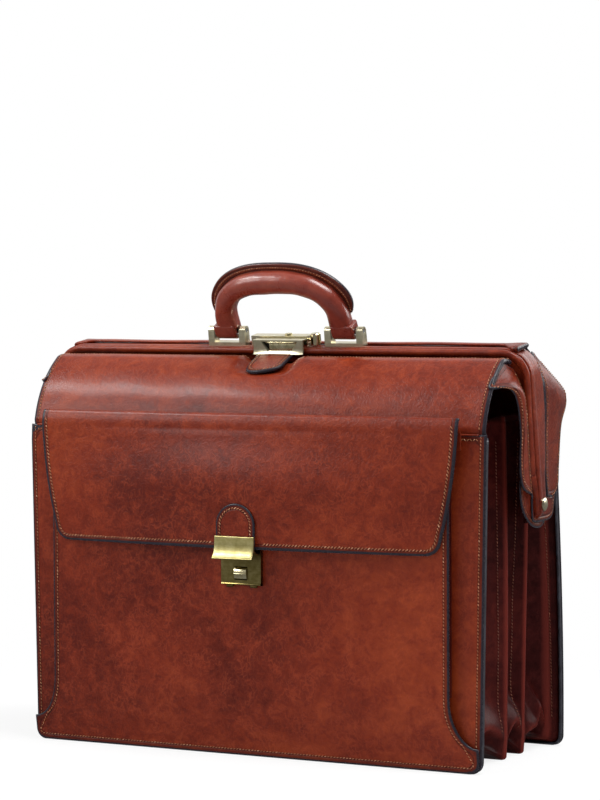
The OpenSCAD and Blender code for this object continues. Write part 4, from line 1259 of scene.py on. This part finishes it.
def clip_sheet(name, path, half, thick, nodes=()):
    """A bent strip of brass: a smooth (Y, Z) path carried across X."""
    line = spline(path, 60)
    run = np.concatenate([[0], np.cumsum(np.linalg.norm(np.diff(line, axis=0), axis=1))])
    want = crowd(0, run[-1], 0.8, 0.5)
    line = np.stack([np.interp(want, run, line[:, k]) for k in range(2)], -1)
    x = crowd(-half, half, 2.0, 0.5)
    grid = np.stack([x[None] + 0 * line[:, :1], line[:, :1] + 0 * x, line[:, 1:] + 0 * x], -1)
    piece = cut_hide(name, grid, thick, satin_brass, out=[0, -1, 0.2])
    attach(piece, "flap")
    if nodes:
        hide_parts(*nodes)


clip_sheet("clip_flare", [[-101.6, 189.0], [-101.9, 184], [-102.2, 179.5], [-103.2, 175.2], [-105.4, 172.0],
                          [-107.0, 170.6]], 19.0, 1.2, ("flap_clip",))
clip_sheet("clip_wrap", [[-101.0, 180], [-100.2, 176.6], [-96.5, 174.4], [-91.8, 172.9]], 18.4, 1.2)
bar("clip_tongue", loop([-93, 170.7], [-85.8, 170.7], [-85.8, 172.3], [-93, 172.3], r=0.4), (-8, 8),
    satin_brass, "flap")
bar("tuck_plate_foot", loop([-89.5, 148.8], [-90.3, 147.7], [-89.0, 146.9], [-86.0, 146.9], [-86.0, 148.8], r=0.3),
    (-19.0, 19.0), dark_brass, "bag")
button = loop([-87.7, 162.4], [-88.6, 162.4], [-90.9, 160.9], [-91.9, 157.5], [-91.3, 157.2], [-91.6, 156.6],
              [-90.4, 152.6], [-88.6, 151.6], [-87.7, 151.6], r=0.35, count=3)
bar("tuck_button_finish", button, (-6, 6), bright_brass, "tuck_button", None, ("tuck_button",))
for node, body in (("handle_pins", "rear_frame"), ("tuck_housing", "bag"), ("front_bar", "front_frame"),
                   ("rear_bar", "rear_frame")):
    dress(node, pin_steel, body, 0.2)


# Handle
# A padded roll of leather on a rope core, closed by a stitched welt along its outside. Both ends
# are flattened and wrapped round the pins of the brackets.

pin_low, pin_high = (np.array(corner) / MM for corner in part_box("handle_pins"))
tilt = math.radians(19.0)
pin_y, pin_z = -1.0, 147.0
grip_half, grip_foot, grip_rise, grip_r, grip_back = 55.0, 9.0, 48.0, 9.4, 7.6


def held(x, y, z):
    """Points in the handle's own coordinates, origin between the pins, as it leans on its brackets."""
    x, y, z = np.broadcast_arrays(x, y, z)
    return framed(x, pin_y + y * math.cos(tilt) - z * math.sin(tilt),
                  pin_z + y * math.sin(tilt) + z * math.cos(tilt))


def grip_line(count):
    """Centre line of the grip: a flattened arch between the two loops."""
    a = np.linspace(0, math.pi, count)
    return np.stack([grip_half * np.sign(np.cos(a)) * np.abs(np.cos(a)) ** 0.8,
                     grip_foot + (grip_rise - grip_foot) * np.sin(a) ** 0.8], -1)


line = grip_line(400)
run = np.concatenate([[0], np.cumsum(np.linalg.norm(np.diff(line, axis=0), axis=1))])
even = np.linspace(0, run[-1], 90)
line = np.stack([np.interp(even, run, line[:, k]) for k in range(2)], -1)
line = np.vstack([line[0] - [0, 5.0], line[0] - [0, 2.5], line, line[-1] - [0, 2.5], line[-1] - [0, 5.0]])
share = np.linspace(0, 1, len(line))
tangent = unit(np.gradient(line, axis=0))
out = np.stack([tangent[:, 1], -tangent[:, 0]], -1)
end = np.minimum(share, 1 - share)
flat = 1 - ease(end / 0.14)
swell = 1 + 0.05 * np.exp(-((share - 0.5) / 0.16) ** 2) + 0.012 * np.sin(share * 47)
sink = 0.9 * np.exp(-((share - 0.56) / 0.1) ** 2)
wide = mix(grip_r * swell, 10.0, flat)
deep = mix(grip_r * swell, 7.1, flat)
back = mix(grip_back, 7.1, flat)
a = np.linspace(0, 2 * math.pi, 40, endpoint=False)
c, s = np.cos(a), np.sin(a)
front_power = mix(1.0, 0.6, flat)[:, None]
c_front = np.sign(c) * np.abs(c) ** front_power
s_front = -np.abs(s) ** front_power
c_back = np.sign(c) * np.abs(c) ** 0.5
reach = np.where(s > 0, c_back, c_front) * wide[:, None]
reach = reach + np.where(reach < 0, -1, 0) * sink[:, None] * np.abs(c)
y = np.where(s > 0, back[:, None] * np.abs(s) ** 0.6, s_front * deep[:, None])
x = line[:, 0, None] + out[:, 0, None] * reach
z = line[:, 1, None] + out[:, 1, None] * reach
grid = held(x, y, z)
handle_leather = hide("handle_hide", (0.11, 0.013, 0.008), (0.17, 0.024, 0.014), (0.23, 0.042, 0.022),
                      gloss=0.34, wax=0.5, crease=0.6, shine=0.35)
grip = add_mesh("grip_hide", grid.reshape(-1, 3), grid_quads(len(line), 40, 0, wrap=True), handle_leather)
close_ends(grip)
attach(grip, "handle")
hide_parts("handle_grip")

dress("handle_loops", handle_leather, "handle", 1.8)

keep = slice(5, -1)
line, out = line[keep], out[keep]
share = np.linspace(0, 1, len(line))
welt_front, welt_back = 3.7, 8.1
rise = 5.6 + 1.8 * np.abs(2 * share - 1) ** 1.5
height = (0.8 + rise * ease(share / 0.1) ** 0.5 * ease((1 - share) / 0.14) ** 0.6)[:, None]
welt_leather = hide("welt_hide", *(tuple(0.85 * c + 0.002 for c in tone) for tone in cognac), edge=True, gloss=0.42,
                    crease=0.5, seam=2.6, paint=0.4, shine=0.3)
depth = crowd(0, 1, 0.12, 1.2 / 9)[None, :]
reach = (grip_r - 2.0) + depth * (2.0 + height)
x = line[:, 0, None] + out[:, 0, None] * reach
z = line[:, 1, None] + out[:, 1, None] * reach
forward = held(0.0, -1.0, 0.0) - held(0.0, 0.0, 0.0)
welt = cut_hide("welt_hide", held(x, welt_front + 0 * x, z), welt_back - welt_front, welt_leather, 1.5, forward)
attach(welt, "handle")
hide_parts("handle_welt")
for word, y, way in (("front", welt_front - 0.1, forward), ("back", welt_back + 0.1, -forward)):
    d = grip_r + 0.42 * height[:, 0]
    path = held(line[:, 0] + out[:, 0] * d, y + 0 * d, line[:, 1] + out[:, 1] * d)
    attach(sew(f"welt_stitches_{word}", path, np.tile(way, (len(path), 1)), pitch=2.6, length=2.1, r=0.45),
            "handle")


# Pull tab
# A half round tongue of two layers, sewn round its edge, that hangs below the lock and is used to
# draw the front half of the frame open.

tab_hinge = np.array(next(j for j in frame["joints"] if j["name"] == "pull_tab_lift")["pos_m"]) / MM
tab_half = 17.3
under_tab = np.array([[tab_hinge[1], tab_hinge[2] - 1.5], [-25, 336.9], [-35, 332], [-46, 326.5], [-56, 322.7]])


def on_tab(q):
    """The tab's upper face over flat (X, reach) points: it slopes forward and twists down to the left."""
    line = spline(under_tab, 80)
    run = np.concatenate([[0], np.cumsum(np.linalg.norm(np.diff(line, axis=0), axis=1))])
    y, z = (np.interp(q[..., 1], run, line[:, k]) for k in range(2))
    twist = q[..., 0] / tab_half * np.clip(q[..., 1] / 34, 0, 1) ** 1.5
    cup = 0.6 * (q[..., 0] / tab_half) ** 2
    return np.stack([tab_x + q[..., 0] - 1.2 * np.clip(q[..., 1] / 34, 0, 1), y + 1.2 * twist,
                     z + 3.1 + 1.7 * twist - cup], -1)


a = np.linspace(0, math.pi, 60)
tongue = np.vstack([np.stack([tab_half * np.cos(a), 21.5 + 14.6 * np.sin(a)], -1),
                    np.stack([np.full(14, -tab_half), np.linspace(20.5, 2.6, 14)], -1),
                    np.stack([np.linspace(-16.6, 16.6, 24), np.full(24, 1.8)], -1),
                    np.stack([np.full(14, tab_half), np.linspace(2.6, 20.5, 14)], -1)])
tab = patch_hide("pull_tab_hide", tongue, np.array([0, 16.0]), on_tab, 3.0, edged_leather, [0, -0.4, 0.9], 1.5)
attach(tab, "pull_tab")
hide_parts("pull_tab")
a = np.linspace(0, math.pi, 60)
inner = np.vstack([np.stack([np.full(20, 14.0), np.linspace(2, 20.5, 20)], -1),
                   np.stack([14.0 * np.cos(a), 21.5 + 11.3 * np.sin(a)], -1)[1:-1],
                   np.stack([np.full(20, -14.0), np.linspace(20.5, 2, 20)], -1)])
path = on_tab(inner)
up = unit(np.tile([0.0, -0.42, 0.9], (len(path), 1)))
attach(sew("pull_tab_stitches", path + up * 0.1, up, pitch=3.0, length=2.2), "pull_tab")


# Stage, light and camera
# A pale floor that fades to white, soft boxes above and in front as in a product photograph.

def floor_look():
    """Matt near white; far from the bag it turns to plain white for the camera alone."""
    made, shader, start = material("pale_floor")
    tree = made.node_tree
    where = start.make("ShaderNodeTexCoord", out=3)
    away = start.make("ShaderNodeVectorMath", {"operation": "LENGTH"}, {0: where}, out=1)
    seen = start.make("ShaderNodeLightPath", out=0)
    white = start.make("ShaderNodeEmission", None, {"Color": (1, 1, 1, 1), "Strength": 1.0})
    mirrored = start.make("ShaderNodeLightPath", out=3)
    dim = start.make("ShaderNodeEmission", None, {"Color": (1, 1, 1, 1), "Strength": 0.2})
    shader.inputs["Base Color"].default_value = (0.86, 0.86, 0.86, 1)
    shader.inputs["Roughness"].default_value = 0.9
    shader.inputs["Specular IOR Level"].default_value = 0.1
    share = seen * (0.82 + away.between(0.28, 0.6) * 0.18)
    both = start.make("ShaderNodeMixShader", None, {0: share, 1: Wire(tree, shader.outputs[0]), 2: white})
    both = start.make("ShaderNodeMixShader", None, {0: mirrored, 1: both, 2: dim})
    output = next(n for n in tree.nodes if n.type == "OUTPUT_MATERIAL")
    tree.links.new(both.socket, output.inputs["Surface"])
    return made


floor_size = 3000.0
floor = add_mesh("floor", [[-floor_size, -floor_size, 0], [floor_size, -floor_size, 0],
                           [floor_size, floor_size, 0], [-floor_size, floor_size, 0]],
                 [[0, 1, 2, 3]], floor_look())

world = bpy.data.worlds.new("studio")
bpy.context.scene.world = world
world.use_nodes = True
sky = Wire(world.node_tree, world.node_tree.nodes["Background"].outputs[0])
seen = sky.make("ShaderNodeLightPath", out=0)
mirrored = sky.make("ShaderNodeLightPath", out=3)
background = world.node_tree.nodes["Background"]
background.inputs["Color"].default_value = (1, 1, 1, 1)
way = sky.make("ShaderNodeTexCoord", out=0)
front = sky.make("ShaderNodeVectorMath", {"operation": "DOT_PRODUCT"}, {0: way, 1: (-0.46, -0.88, 0.0)}, out=1)
behind = sky.make("ShaderNodeVectorMath", {"operation": "DOT_PRODUCT"}, {0: way, 1: (0.2, 0.88, 0.43)}, out=1)
left = sky.make("ShaderNodeVectorMath", {"operation": "DOT_PRODUCT"}, {0: way, 1: (-0.52, 0.79, 0.33)}, out=1)
above = sky.make("ShaderNodeVectorMath", {"operation": "DOT_PRODUCT"}, {0: way, 1: (-0.45, 0.1, 0.89)}, out=1)
glow = 0.5 * above.between(0.45, 0.95) + 0.36 * front.between(0.3, 0.95) + 3.6 * behind.between(0.92, 0.99) + 0.7 * left.between(0.55, 0.95)
level = 0.42 + seen * 0.58 - mirrored * (0.37 - glow)
world.node_tree.links.new(level.socket, background.inputs["Strength"])


def soft_box(name, place, target, size, power, tone=(1, 1, 1)):
    light = bpy.data.lights.new(name, "AREA")
    light.shape = "RECTANGLE"
    light.size, light.size_y = size
    light.energy = power
    light.color = tone
    lamp = bpy.data.objects.new(name, light)
    bpy.context.collection.objects.link(lamp)
    lamp.location = place
    lamp.rotation_euler = (Vector(target) - Vector(place)).to_track_quat("-Z", "Y").to_euler()


soft_box("key_box", (-1.3, -1.35, 1.15), (0, 0, 0.2), (0.9, 0.7), 12.5)
soft_box("strip_box", (-1.05, -0.70, 1.53), (-0.1, -0.06, 0.31), (0.7, 0.2), 13)
soft_box("right_box", (0.65, -0.1, 1.75), (0, 0, 0.25), (0.8, 0.8), 30)
soft_box("fill_box", (1.6, 1.5, 0.9), (0, 0, 0.2), (0.8, 0.8), 12)

lens = bpy.data.cameras.new("camera")
lens.sensor_width = 36.0
lens.lens = 129.38
camera = bpy.data.objects.new("camera", lens)
bpy.context.collection.objects.link(camera)
camera.location = (1.1632, -2.2055, 0.395)
camera.rotation_euler = (math.radians(90 - 2.181), 0, math.radians(27.615))
bpy.context.scene.camera = camera
bpy.context.scene.view_settings.view_transform = "Standard"
